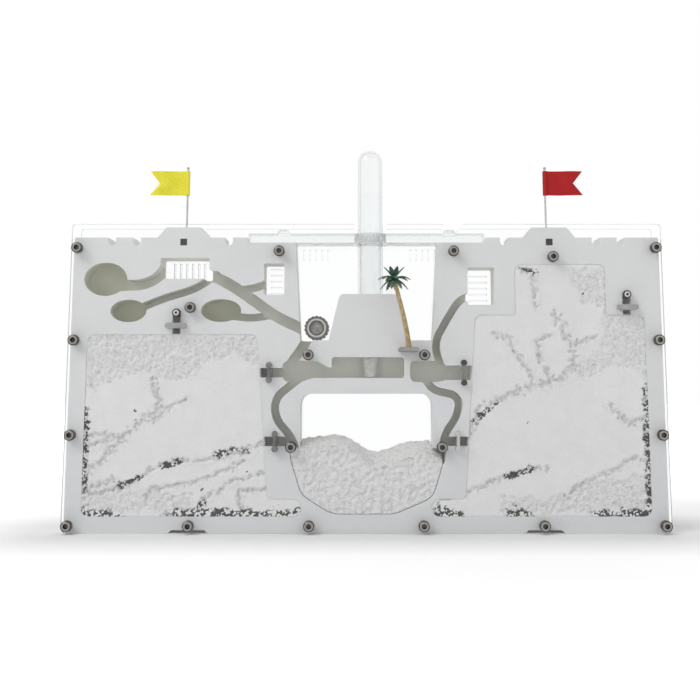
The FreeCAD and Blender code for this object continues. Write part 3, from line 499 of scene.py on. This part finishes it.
nodeFinish = {
    'nest_board': board, 'front_cover': coverClear, 'back_cover': coverClear,
    'cover_nuts': steel, 'pin_holder_left': rubber, 'pin_holder_right': rubber,
    'outworld_lid': lidClear, 'tube_collar': collarClear,
    'water_tube': tubeGlass, 'tube_water': tubeWater, 'flag_pin_left': steel, 'flag_pin_right': steel,
    'gate_upper_left_blade': smokePlastic, 'gate_upper_left_beads': greyRubber,
    'gate_lower_left_blade': smokePlastic, 'gate_lower_left_beads': greyRubber,
    'gate_upper_right_blade': bladeClear, 'gate_upper_right_beads': rubber,
    'gate_lower_right_blade': frostGate, 'gate_lower_right_beads': frostGate,
    'port_gate_left': barPlastic, 'port_gate_right': barPlastic,
    'port_plug_left': rubber, 'port_plug_right': rubber,
    'palm_foot': footGrey, 'palm_trunk': trunkTan, 'palm_crown': leafGreen,
    'feeding_cup': cupDark, 'feeding_cup_ring': cupPale, 'feeding_cup_feed': feedGrey,
    'cover_screws': screwSteel, 'tube_cotton': cottonWhite,
    'nest_sand_left': sand, 'nest_sand_right': sand, 'bowl_sand': sand,
    'flag_left': yellowFilm, 'flag_right': redFilm,
}
for name, finish in nodeFinish.items():
    for slot in cadNodes[name].material_slots:
        slot.material = finish
print("CAD nodes dressed")


def deselect():
    if bpy.context.object and bpy.context.object.mode != 'OBJECT':
        bpy.ops.object.mode_set(mode='OBJECT')
    bpy.ops.object.select_all(action='DESELECT')


def only(piece):
    deselect()
    piece.select_set(True)
    bpy.context.view_layer.objects.active = piece


def pick(piece, kind, test):  # leaves the piece in edit mode with what passes the test selected
    only(piece)
    bpy.ops.object.mode_set(mode='EDIT')
    bpy.ops.mesh.select_mode(type=kind)
    bpy.ops.mesh.select_all(action='DESELECT')
    bpy.ops.object.mode_set(mode='OBJECT')
    parts = piece.data.polygons if kind == 'FACE' else piece.data.vertices
    for part in parts:
        part.select = bool(test(part))
    bpy.ops.object.mode_set(mode='EDIT')


def applyModifier(piece, kind, **settings):
    only(piece)
    modifier = piece.modifiers.new(kind.lower(), kind)
    for label, value in settings.items():
        setattr(modifier, label, value)
    bpy.ops.object.modifier_apply(modifier=modifier.name)


def rodAlongY(name, x, z, radius, low, high, vertices=48):
    deselect()
    bpy.ops.mesh.primitive_cylinder_add(vertices=vertices, radius=radius * mm, depth=(high - low) * mm,
                                        location=(x * mm, (low + high) / 2 * mm, z * mm),
                                        rotation=(math.radians(90), 0, 0))
    rod = bpy.context.object
    rod.name = name
    bpy.ops.object.transform_apply(location=True, rotation=True, scale=True)
    return rod


def carve(piece, cutter):
    applyModifier(piece, 'BOOLEAN', object=cutter, operation='DIFFERENCE', solver='EXACT')
    bpy.data.objects.remove(cutter)


def tidyMesh(piece, finish, angle=35):
    only(piece)
    bpy.ops.object.transform_apply(location=True, rotation=True, scale=True)
    bpy.ops.object.mode_set(mode='EDIT')
    bpy.ops.mesh.select_all(action='SELECT')
    bpy.ops.mesh.remove_doubles(threshold=0.000004)
    bpy.ops.mesh.normals_make_consistent(inside=False)
    bpy.ops.object.mode_set(mode='OBJECT')
    bpy.ops.object.shade_smooth_by_angle(angle=math.radians(angle))
    piece.data.materials.clear()
    piece.data.materials.append(finish)


def handOver(piece, body, slotName, *nodeNames):
    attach(piece, body)
    if nodeNames:
        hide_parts(*nodeNames)


def placeCopies(master, baseName, places, body, slotName, nodeName):
    for index, (x, z) in enumerate(places):
        twin = master.copy()
        twin.data = master.data.copy()
        twin.name = "%s_%02d" % (baseName, index)
        scene.collection.objects.link(twin)
        twin.data.transform(Matrix.Translation((x * mm, 0, z * mm)))
        handOver(twin, body, slotName, nodeName)
    bpy.data.objects.remove(master)


def finerCopy(nodeName, name, voxel):  # even mesh over the solid, to be shaped further
    node = cadNodes[nodeName]
    data = node.data.copy()
    data.transform(node.matrix_world)
    piece = bpy.data.objects.new(name, data)
    scene.collection.objects.link(piece)
    applyModifier(piece, 'REMESH', mode='VOXEL', voxel_size=voxel * mm, use_smooth_shade=True)
    return piece


def wobble(x, z, scale, seed):
    return noise.noise(Vector((x * scale, seed * 7.31, z * scale)))


def lineDistance(points, line):
    best = np.full(len(points), 1e9)
    for start, end in zip(line[:-1], line[1:]):
        start = np.array(start, float)
        along = np.array(end, float) - start
        share = np.clip(((points - start) @ along) / (along @ along), 0, 1)
        best = np.minimum(best, np.linalg.norm(points - start - share[:, None] * along, axis=1))
    return best


def insideRing(points, ring):
    inside = np.zeros(len(points), bool)
    for (x0, z0), (x1, z1) in zip(ring, ring[1:] + ring[:1]):
        if z0 == z1:
            continue
        crosses = (z0 > points[:, 1]) != (z1 > points[:, 1])
        inside ^= crosses & (points[:, 0] < (x1 - x0) * (points[:, 1] - z0) / (z1 - z0) + x0)
    return inside


screwSize = {'head': 2.75, 'headFront': -13.0, 'headBack': -10.0, 'crown': 0.3, 'bevel': 0.62,
             'flats': 2.5, 'socket': 1.6, 'shank': 1.5, 'end': 12.4, 'endInset': 0.3, 'endBevel': 0.15,
             'knurls': 24, 'knurlShare': 0.955}
nutSize = {'flats': 5.5, 'front': 10.0, 'back': 12.4, 'bevel': 0.22, 'bore': 1.85, 'boreDepth': 0.3}
screwPlaces = [(sign * x, z) for sign in (-1, 1) for x, z in (
    (146.7, 3.8), (146.7, 47.65), (146.7, 94.5), (146.7, 141.2), (87.3, 3.8), (28.2, 3.8),
    (37.4, 41.7), (29.1, 87.1), (44.2, 139.5))] + [(-88.6, 110.8), (94.5, 136.6)]


def makeScrew():
    size = screwSize
    head = rodAlongY("coverScrew", 0, 0, size['head'], size['headFront'] + size['crown'], size['headBack'],
                     size['knurls'] * 2)
    pick(head, 'FACE', lambda face: face.normal.y < -0.9)
    bpy.ops.mesh.inset(thickness=size['bevel'] * mm, depth=size['crown'] * mm)
    step = math.pi / size['knurls']
    pick(head, 'VERT', lambda v: v.co.xz.length > (size['head'] - 0.1) * mm
         and round(math.atan2(v.co.z, v.co.x) / step) % 2 == 1)
    share = size['knurlShare']
    bpy.ops.transform.resize(value=(share, 1, share), center_override=(0, 0, 0))
    bpy.ops.object.mode_set(mode='OBJECT')
    across = size['flats'] / math.sqrt(3)
    socketEnd = size['headFront'] + size['socket']
    carve(head, rodAlongY("socket", 0, 0, across, size['headFront'] - 1, socketEnd, 6))
    shank = rodAlongY("shank", 0, 0, size['shank'], size['headBack'] - 0.2, size['end'], 28)
    pick(shank, 'FACE', lambda face: face.normal.y > 0.9)
    bpy.ops.mesh.inset(thickness=size['endInset'] * mm, depth=0)
    bpy.ops.object.mode_set(mode='OBJECT')
    applyModifier(shank, 'BEVEL', width=size['endBevel'] * mm, segments=2, limit_method='ANGLE')
    only(head)
    shank.select_set(True)
    bpy.ops.object.join()
    tidyMesh(head, screwFinish, 28)
    return head


def makeNut():
    size = nutSize
    nut = rodAlongY("coverNut", 0, 0, size['flats'] / math.sqrt(3), size['front'], size['back'], 6)
    applyModifier(nut, 'BEVEL', width=size['bevel'] * mm, segments=2, limit_method='ANGLE')
    carve(nut, rodAlongY("nutBore", 0, 0, size['bore'], size['back'] - size['boreDepth'], 13.0, 28))
    tidyMesh(nut, steel, 28)
    return nut


placeCopies(makeScrew(), "coverScrew", screwPlaces, "housing", "steel", "cover_screws")
placeCopies(makeNut(), "coverNut", screwPlaces, "housing", "steel", "cover_nuts")
print("screws and nuts ready")

# rings around loose ground, then half widths and lines of the burrows and of the dirt, in mm
leftSand = {
    'rough': [[(-141, 97), (-55, 97), (-54, 80), (-61, 86), (-70, 87), (-81, 83), (-90, 74), (-100, 75),
               (-107, 75), (-110, 80), (-117, 78), (-129, 73), (-140, 69)],
              [(-139, 26), (-122, 24), (-108, 20), (-87, 19), (-85, 11), (-139, 10)]],
    'veins': [(1.9, [(-107, 75), (-106, 69), (-103, 64), (-105, 57), (-109, 57), (-114, 53), (-120, 48),
                     (-125, 42), (-130, 36), (-138, 30)]),
              (1.3, [(-89, 65), (-95, 63), (-100, 60), (-106, 55)]),
              (1.3, [(-138, 47), (-130, 48), (-124, 47)]),
              (1.3, [(-138, 42), (-132, 44), (-123, 46)]),
              (1.5, [(-52, 43), (-60, 40), (-70, 37), (-82, 35), (-93, 35), (-100, 33), (-107, 30),
                     (-113, 26), (-120, 22), (-129, 20), (-138, 18)]),
              (1.3, [(-61, 35), (-66, 31), (-76, 28), (-83, 25), (-94, 23), (-107, 21), (-109, 17)]),
              (1.3, [(-51, 29), (-59, 26), (-66, 26), (-70, 22), (-72, 20), (-78, 18), (-82, 14), (-81, 11)]),
              (1.2, [(-51, 21), (-63, 20), (-62, 11)]),
              (1.2, [(-138, 22), (-131, 23), (-125, 26)]),
              (1.2, [(-139, 12), (-139.4, 60)])],
    'dirt': [(1.6, [(-140.2, 60), (-140.2, 9)]), (2.6, [(-139, 9), (-35, 9)]),
             (1.8, [(-74, 38), (-66, 40.5), (-58, 40)]),
             (1.2, [(-101, 32), (-92, 35)]), (1.2, [(-122, 23), (-112, 27)]), (1.0, [(-80, 15), (-84, 12)])],
}
rightSand = {
    'rough': [[(104, 131), (121, 129), (122, 109), (117, 112), (108, 114), (105, 122)],
              [(120, 109), (141, 107), (142, 75), (134, 81), (122, 82), (116, 78), (111, 77), (106, 75),
               (104, 82), (112, 86), (119, 91), (120, 96)],
              [(65, 17), (78, 17), (97, 18), (106, 21), (114, 26), (140, 28), (140, 10), (66, 9)]],
    'veins': [(2.3, [(95, 108), (98, 103), (103, 93), (105, 87), (104, 81), (99, 76), (90, 73), (83, 72),
                     (76, 69), (68, 66), (60, 62), (54, 55), (50, 47)]),
              (1.4, [(65, 98), (73, 95), (73, 91), (77, 86), (82, 78), (84, 74)]),
              (1.3, [(117, 97), (110, 94), (105, 92)]),
              (1.4, [(96, 98), (90, 96), (86, 94), (87, 87), (90, 80), (92, 77)]),
              (1.4, [(139, 56), (131, 53), (126, 58), (121, 63)]),
              (1.4, [(36, 16), (45, 18), (58, 23), (69, 27), (82, 31), (89, 31)]),
              (1.3, [(99, 18), (104, 22), (112, 26), (123, 30), (131, 36), (140, 35)]),
              (1.3, [(79, 130), (85, 129), (86, 112)]),
              (1.2, [(139.4, 12), (139.6, 70)])],
    'dirt': [(2.6, [(35, 9), (139, 9)]), (1.8, [(140.2, 9), (140.2, 70)]), (1.3, [(54, 55), (66, 64)]),
             (1.2, [(69, 27), (82, 31)]), (1.2, [(78, 131), (86, 129)])],
}
sandFront = -7.45
sandRelief = {
    'band': 0.4,            # mm behind the front that still count as its face
    'press': 0.55,          # mm that the fill reaches into the walls of its pocket
    'broad': 0.16, 'middle': 0.55, 'fine': 1.7, 'patchy': 0.05,     # waves per mm
    'packed': 0.3, 'burrow': 0.95, 'deepest': 1.9,                  # mm behind the front
    'burrowEdge': 0.6, 'roughEdge': 1.6,
    'crumb': 0.34, 'crumbPlace': 0.9, 'crumbSpread': 0.7,
}


def addShare(piece, name, values):
    layer = piece.data.attributes.new(name, 'FLOAT', 'POINT')
    layer.data.foreach_set("value", np.asarray(values, np.float32))


def makeNestSand(nodeName, name, lines, voxel, seed):
    shape = sandRelief
    piece = finerCopy(nodeName, name, voxel)
    for vertex, normal in [(v, v.normal.copy()) for v in piece.data.vertices]:
        if abs(normal.y) < 0.85:
            vertex.co += Vector((normal.x, 0, normal.z)) * shape['press'] * mm
    count = len(piece.data.vertices)
    spots = np.empty(count * 3)
    piece.data.vertices.foreach_get("co", spots)
    spots = spots.reshape(-1, 3) / mm
    flat = spots[:, [0, 2]]
    broad, middle, fine, patchy = (np.array([wobble(x, z, shape[wave], seed + step) for x, z in flat])
                                   for step, wave in enumerate(('broad', 'middle', 'fine', 'patchy')))
    dug = np.zeros(count)
    crumbs = np.zeros(count)
    for half, line in lines['veins']:
        edge = lineDistance(flat, line) - half * (0.5 + 1.5 * middle + 0.7 * fine)
        dug = np.maximum(dug, np.clip(0.5 - edge / shape['burrowEdge'], 0, 1))
        rim = np.exp(-((edge - shape['crumbPlace']) / shape['crumbSpread']) ** 2)
        crumbs = np.maximum(crumbs, rim * (0.6 + fine))
    rough = np.zeros(count)
    for ring in lines['rough']:
        depth = lineDistance(flat, ring + ring[:1]) * np.where(insideRing(flat, ring), 1, -1)
        depth += 2.6 * broad + 1.6 * middle
        rough = np.maximum(rough, np.clip(0.5 + depth / shape['roughEdge'], 0, 1))
    dirt = np.zeros(count)
    for half, line in lines['dirt']:
        spread = half * (1 + 0.9 * middle + 0.7 * broad)
        dirt = np.maximum(dirt, np.clip(1.4 - lineDistance(flat, line) / spread, 0, 1))
    dirt *= np.clip(0.75 + 2.2 * patchy, 0, 1)
    front = spots[:, 1] < sandFront + shape['band']
    drop = shape['packed'] + shape['burrow'] * dug * (1 + 0.8 * fine)
    drop += rough * (0.3 + 0.8 * middle + 0.5 * fine) + 0.08 * broad
    drop -= shape['crumb'] * crumbs * (1 - dug)
    spots[front, 1] = sandFront + np.clip(drop[front], 0, shape['deepest'])
    piece.data.vertices.foreach_set("co", (spots * mm).ravel())
    stirred = np.maximum(np.maximum(dug, 0.5 * crumbs), rough * (0.8 + 0.5 * middle))
    addShare(piece, "loose", np.clip(stirred + 0.08, 0, 1))
    addShare(piece, "dirty", np.clip(dirt * (0.8 + 0.8 * fine), 0, 1))
    piece.data.materials.clear()
    piece.data.materials.append(sand)
    handOver(piece, "housing", "sand", nodeName)


makeNestSand('nest_sand_left', "nestSandLeft", leftSand, 0.7, 3)
makeNestSand('nest_sand_right', "nestSandRight", rightSand, 0.75, 11)
print("nest sand ready")


heapShape = {'voxel': 0.6, 'topAbove': 26, 'topLump': 0.75, 'topGrain': 0.3,
             'faceBehind': 0.45, 'faceLump': 0.95, 'faceGrain': 0.2}


def makeHeap():
    shape = heapShape
    piece = finerCopy('bowl_sand', "bowlSandHeap", shape['voxel'])
    normals = [tuple(v.normal) for v in piece.data.vertices]
    share = []
    for vertex, normal in zip(piece.data.vertices, normals):
        x, y, z = (c / mm for c in vertex.co)
        clump = noise.noise(Vector((x, y, z)) * 0.42) + 0.5 * noise.noise(Vector((x, y, z)) * 1.3)
        fine = noise.noise(Vector((x, y, z)) * 2.6)
        if normal[2] > 0.3 and z > shape['topAbove']:
            vertex.co.z += (shape['topLump'] * clump + shape['topGrain'] * fine) * mm
            share.append(1.0)
        elif y < sandFront + sandRelief['band']:
            behind = shape['faceBehind'] + shape['faceLump'] * clump + shape['faceGrain'] * fine
            vertex.co.y = (sandFront + max(0.0, behind)) * mm
            share.append(min(1.0, max(0.35, 0.75 + clump)))
        else:
            share.append(0.8)
    addShare(piece, "loose", share)
    addShare(piece, "dirty", [0.0] * len(share))
    piece.data.materials.clear()
    piece.data.materials.append(sand)
    handOver(piece, "housing", "sand", 'bowl_sand')


makeHeap()
print("sand heap ready")

cottonSize = {'middle': 2.0, 'plugLow': 93.9, 'creases': 11, 'crease': 0.05, 'voxel': 0.35}


def makeCotton():
    piece = finerCopy('tube_cotton', "tubeCottonWool", cottonSize['voxel'])
    for vertex in piece.data.vertices:
        x, y, z = (c / mm for c in vertex.co)
        x -= cottonSize['middle']
        angle = math.atan2(y, x)
        if z > cottonSize['plugLow']:
            fold = math.sin(angle * cottonSize['creases'] + 2.2 * noise.noise(Vector((x, y, z * 0.5)) * 0.35))
            shrink = 0.03 + cottonSize['crease'] * max(0.0, fold) ** 2
            shrink = max(0.004, shrink + 0.02 * noise.noise(Vector((x, y, z)) * 1.2))
        else:
            shrink = 0.06 - 0.15 * noise.noise(Vector((x, y, z)) * 0.5)
            shrink -= 0.08 * noise.noise(Vector((x, y, z)) * 1.5)
        vertex.co.x = (cottonSize['middle'] + x * (1 - shrink)) * mm
        vertex.co.y = y * (1 - shrink) * mm
    tidyMesh(piece, cottonWhite, 80)
    handOver(piece, "tube", "cotton", 'tube_cotton')


makeCotton()
print("cotton ready")

cupSize = {'x': -25.2, 'z': 100.75, 'radius': 6.2, 'rim': 4.9, 'front': -6.7, 'back': -0.2, 'flutes': 18,
           'fluteShare': 0.915, 'floor': 1.0, 'ringFront': -6.4, 'ringBack': -4.8, 'ringWidth': 0.92,
           'feedFront': -4.75, 'feedReach': 3.3, 'lipReach': 3.95, 'feedVoxel': 0.25}


def makeCup():
    size = cupSize
    shell = rodAlongY("feedingCupShell", 0, 0, size['radius'], size['front'], size['back'],
                      size['flutes'] * 4)
    step = math.pi / (2 * size['flutes'])
    pick(shell, 'VERT', lambda v: round(math.atan2(v.co.z, v.co.x) / step) % 4 == 0)
    share = size['fluteShare']
    bpy.ops.transform.resize(value=(share, 1, share), center_override=(0, 0, 0))
    pick(shell, 'FACE', lambda face: face.normal.y < -0.9)
    bpy.ops.mesh.inset(thickness=0.25 * mm, depth=0.0)
    bpy.ops.object.mode_set(mode='OBJECT')
    floorFront = size['back'] - size['floor']
    carve(shell, rodAlongY("cupHollow", 0, 0, size['rim'], size['front'] - 1, floorFront, 64))
    applyModifier(shell, 'BEVEL', width=0.12 * mm, segments=2, limit_method='ANGLE',
                  angle_limit=math.radians(40))
    shell.data.transform(Matrix.Translation((size['x'] * mm, 0, size['z'] * mm)))
    tidyMesh(shell, cupDark, 30)
    handOver(shell, "cup", "black_plastic", 'feeding_cup')

    outer = size['rim'] - 0.03
    ring = rodAlongY("feedingCupRing", size['x'], size['z'], outer, size['ringFront'], size['ringBack'], 64)
    carve(ring, rodAlongY("ringHole", size['x'], size['z'], outer - size['ringWidth'], -8, -3, 64))
    applyModifier(ring, 'BEVEL', width=0.25 * mm, segments=3, limit_method='ANGLE')
    tidyMesh(ring, cupPale, 40)
    handOver(ring, "cup", "white_plastic", 'feeding_cup_ring')

    feed = finerCopy('feeding_cup_feed', "feedingCupFeed", size['feedVoxel'])
    for vertex in feed.data.vertices:
        x, y, z = (c / mm for c in vertex.co)
        reach = math.hypot(x - size['x'], z - size['z'])
        if y < -4.4:
            dome = 0.55 * max(0.0, 1 - (reach / 3.4) ** 2)
            lump = 0.35 * noise.noise(Vector((x, 0, z)) * 1.1) + 0.2 * noise.noise(Vector((x, 3, z)) * 2.4)
            lip = 0.5 if size['feedReach'] < reach < size['lipReach'] else 0.0
            lump *= 1 if reach < size['feedReach'] else 0.2
            vertex.co.y = (size['feedFront'] - dome + lump + lip) * mm
    tidyMesh(feed, feedGrey, 60)
    handOver(feed, "cup", "grey_plastic", 'feeding_cup_feed')


makeCup()
print("cup ready")

flagSize = {'pin': 93.3, 'low': 170.2, 'high': 183.0, 'far': 112.9, 'tail': 5.0, 'sleeve': 1.2, 'bore': 0.98,
            'overlap': 0.25, 'film': 0.34, 'wave': 0.62}


def makeFlag(sign, name, body, slotName, nodeName, finish):
    size = flagSize
    deselect()
    bpy.ops.mesh.primitive_grid_add(x_subdivisions=30, y_subdivisions=12, size=1)
    film = bpy.context.object
    film.name = name
    start = size['pin'] + size['sleeve'] - size['overlap']
    high = size['high'] - size['low']
    for vertex in film.data.vertices:
        along, up = vertex.co.x + 0.5, vertex.co.y + 0.5
        end = size['far'] - size['tail'] * (1 - abs(2 * up - 1))
        wave = size['wave'] * math.sin(along * 5.4 + up * 0.9) * min(1.0, along * 2.5)
        vertex.co = Vector((sign * (start + (end - start) * along) * mm, wave * mm,
                            (size['low'] + high * up) * mm))
    applyModifier(film, 'SOLIDIFY', thickness=size['film'] * mm, offset=0)
    deselect()
    middle = (sign * size['pin'] * mm, 0, (size['low'] + high / 2) * mm)
    bpy.ops.mesh.primitive_cylinder_add(vertices=36, radius=size['sleeve'] * mm, depth=high * mm,
                                        location=middle)
    sleeve = bpy.context.object
    bpy.ops.mesh.primitive_cylinder_add(vertices=36, radius=size['bore'] * mm, depth=30 * mm,
                                        location=middle)
    carve(sleeve, bpy.context.object)
    only(film)
    sleeve.select_set(True)
    bpy.ops.object.join()
    tidyMesh(film, finish, 40)
    handOver(film, body, slotName, nodeName)


makeFlag(-1, "flagFilmLeft", "flag_left", "yellow_plastic", 'flag_left', yellowFilm)
makeFlag(1, "flagFilmRight", "flag_right", "red_plastic", 'flag_right', redFilm)
print("flags ready")

plugSize = {'radius': 2.05, 'front': -10.6, 'back': -5.0, 'ring': 1.39, 'ringFront': -10.8, 'pin': 0.72,
            'pinFront': -10.88, 'insertBack': -10.1}
plugPlaces = {'left': (-95.9, 108.3), 'right': (131.7, 117.6)}


def makePlug(side, x, z):
    size = plugSize
    body = "port_plug_" + side
    plug = rodAlongY("portPlug_" + side, x, z, size['radius'], size['front'], size['back'])
    pick(plug, 'FACE', lambda face: face.normal.y < -0.9)
    bpy.ops.mesh.inset(thickness=0.5 * mm, depth=0.0)
    bpy.ops.mesh.inset(thickness=0.12 * mm, depth=-0.35 * mm)
    bpy.ops.object.mode_set(mode='OBJECT')
    applyModifier(plug, 'BEVEL', width=0.16 * mm, segments=2, limit_method='ANGLE',
                  angle_limit=math.radians(50))
    tidyMesh(plug, rubber, 35)
    handOver(plug, body, "black_rubber", body)
    ring = rodAlongY("portPlugRing_" + side, x, z, size['ring'], size['ringFront'], size['insertBack'])
    carve(ring, rodAlongY("ringHole", x, z, size['pin'], -12, -9, 32))
    applyModifier(ring, 'BEVEL', width=0.12 * mm, segments=2, limit_method='ANGLE')
    tidyMesh(ring, plugWhite, 35)
    handOver(ring, body, "white_plastic")
    pin = rodAlongY("portPlugPin_" + side, x, z, size['pin'] - 0.04, size['pinFront'], size['insertBack'], 32)
    applyModifier(pin, 'BEVEL', width=0.15 * mm, segments=2, limit_method='ANGLE')
    tidyMesh(pin, rubber, 35)
    handOver(pin, body, "black_rubber")


for side, (x, z) in plugPlaces.items():
    makePlug(side, x, z)
print("port plugs ready")

palmSize = {'foot': (21.0, 90.75), 'top': (13.8, 123.9), 'y': -17.5, 'lean': 1.35, 'base': 1.34, 'tip': 1.08,
            'rings': 24, 'ringOut': 1.08, 'ringIn': 0.80, 'frondWidth': 1.55, 'frondFilm': 0.22,
            'flatten': 0.8, 'teeth': 18, 'notch': 0.55,
            # count, reach, rise, fall and first turn of each whorl
            'fronds': ((6, 5.2, 8.6, -2.2, 0.0), (7, 8.4, 6.0, -6.2, 0.5), (6, 7.2, 1.6, -6.6, 0.2))}


def palmAxis(share):
    (x0, z0), (x1, z1) = palmSize['foot'], palmSize['top']
    return x0 + (x1 - x0) * share ** palmSize['lean'], z0 + (z1 - z0) * share


def makeTrunk():
    size = palmSize
    deselect()
    x, z = palmAxis(0)
    bpy.ops.mesh.primitive_circle_add(vertices=18, radius=size['base'] * mm, fill_type='NGON',
                                      location=(x * mm, size['y'] * mm, z * mm))
    trunk = bpy.context.object
    trunk.name = "palmTrunkRinged"
    bpy.ops.object.transform_apply(location=True)
    bpy.ops.object.mode_set(mode='EDIT')
    bpy.ops.mesh.select_all(action='SELECT')
    wide = size['base']
    for index in range(size['rings'] * 2):
        share = (index + (1.45 if index % 2 == 0 else 1)) / (size['rings'] * 2)
        nextX, nextZ = palmAxis(min(1.0, share))
        target = size['base'] + (size['tip'] - size['base']) * share
        target *= size['ringIn' if index % 2 else 'ringOut']
        bpy.ops.mesh.extrude_region_move(
            TRANSFORM_OT_translate={"value": ((nextX - x) * mm, 0, (nextZ - z) * mm)})
        bpy.ops.transform.resize(value=(target / wide, target / wide, 1),
                                 center_override=(nextX * mm, size['y'] * mm, nextZ * mm))
        x, z, wide = nextX, nextZ, target
    bpy.ops.object.mode_set(mode='OBJECT')
    tidyMesh(trunk, trunkTan, 50)
    handOver(trunk, "palm", "tan_plastic", 'palm_trunk')


def makeFrond(index, count, reach, rise, fall, start):
    size = palmSize
    deselect()
    bpy.ops.mesh.primitive_grid_add(x_subdivisions=size['teeth'], y_subdivisions=4, size=1)
    frond = bpy.context.object
    turn = 2 * math.pi * (index + start) / count + 0.22 * math.sin(index * 2.3 + count)
    topX, topZ = palmAxis(1.0)
    for vertex in frond.data.vertices:
        along, across = vertex.co.x + 0.5, vertex.co.y * 2
        step = round(along * size['teeth'])
        wide = size['frondWidth'] * math.sin(math.pi * min(1.0, 0.08 + 0.92 * along)) ** 0.75 + 0.12
        if abs(across) > 0.9 and step % 2 == 1:
            wide *= size['notch']
        out = reach * along
        height = rise * along ** 0.85 + fall * along ** 2
        height -= 0.5 * abs(across) * wide
        side = across * wide
        sideways = out * math.cos(turn) - side * math.sin(turn)
        forward = (out * math.sin(turn) + side * math.cos(turn)) * size['flatten']
        vertex.co = Vector(((topX + sideways) * mm, (size['y'] + forward) * mm, (topZ + 0.3 + height) * mm))
    applyModifier(frond, 'SOLIDIFY', thickness=size['frondFilm'] * mm, offset=0)
    return frond


def makeCrown():
    fronds = [makeFrond(index, count, *form) for count, *form in palmSize['fronds'] for index in range(count)]
    only(fronds[0])
    for frond in fronds[1:]:
        frond.select_set(True)
    bpy.ops.object.join()
    crown = bpy.context.object
    crown.name = "palmCrownFronds"
    tidyMesh(crown, leafGreen, 30)
    handOver(crown, "palm", "green_plastic", 'palm_crown')


makeTrunk()
makeCrown()
print("palm ready")
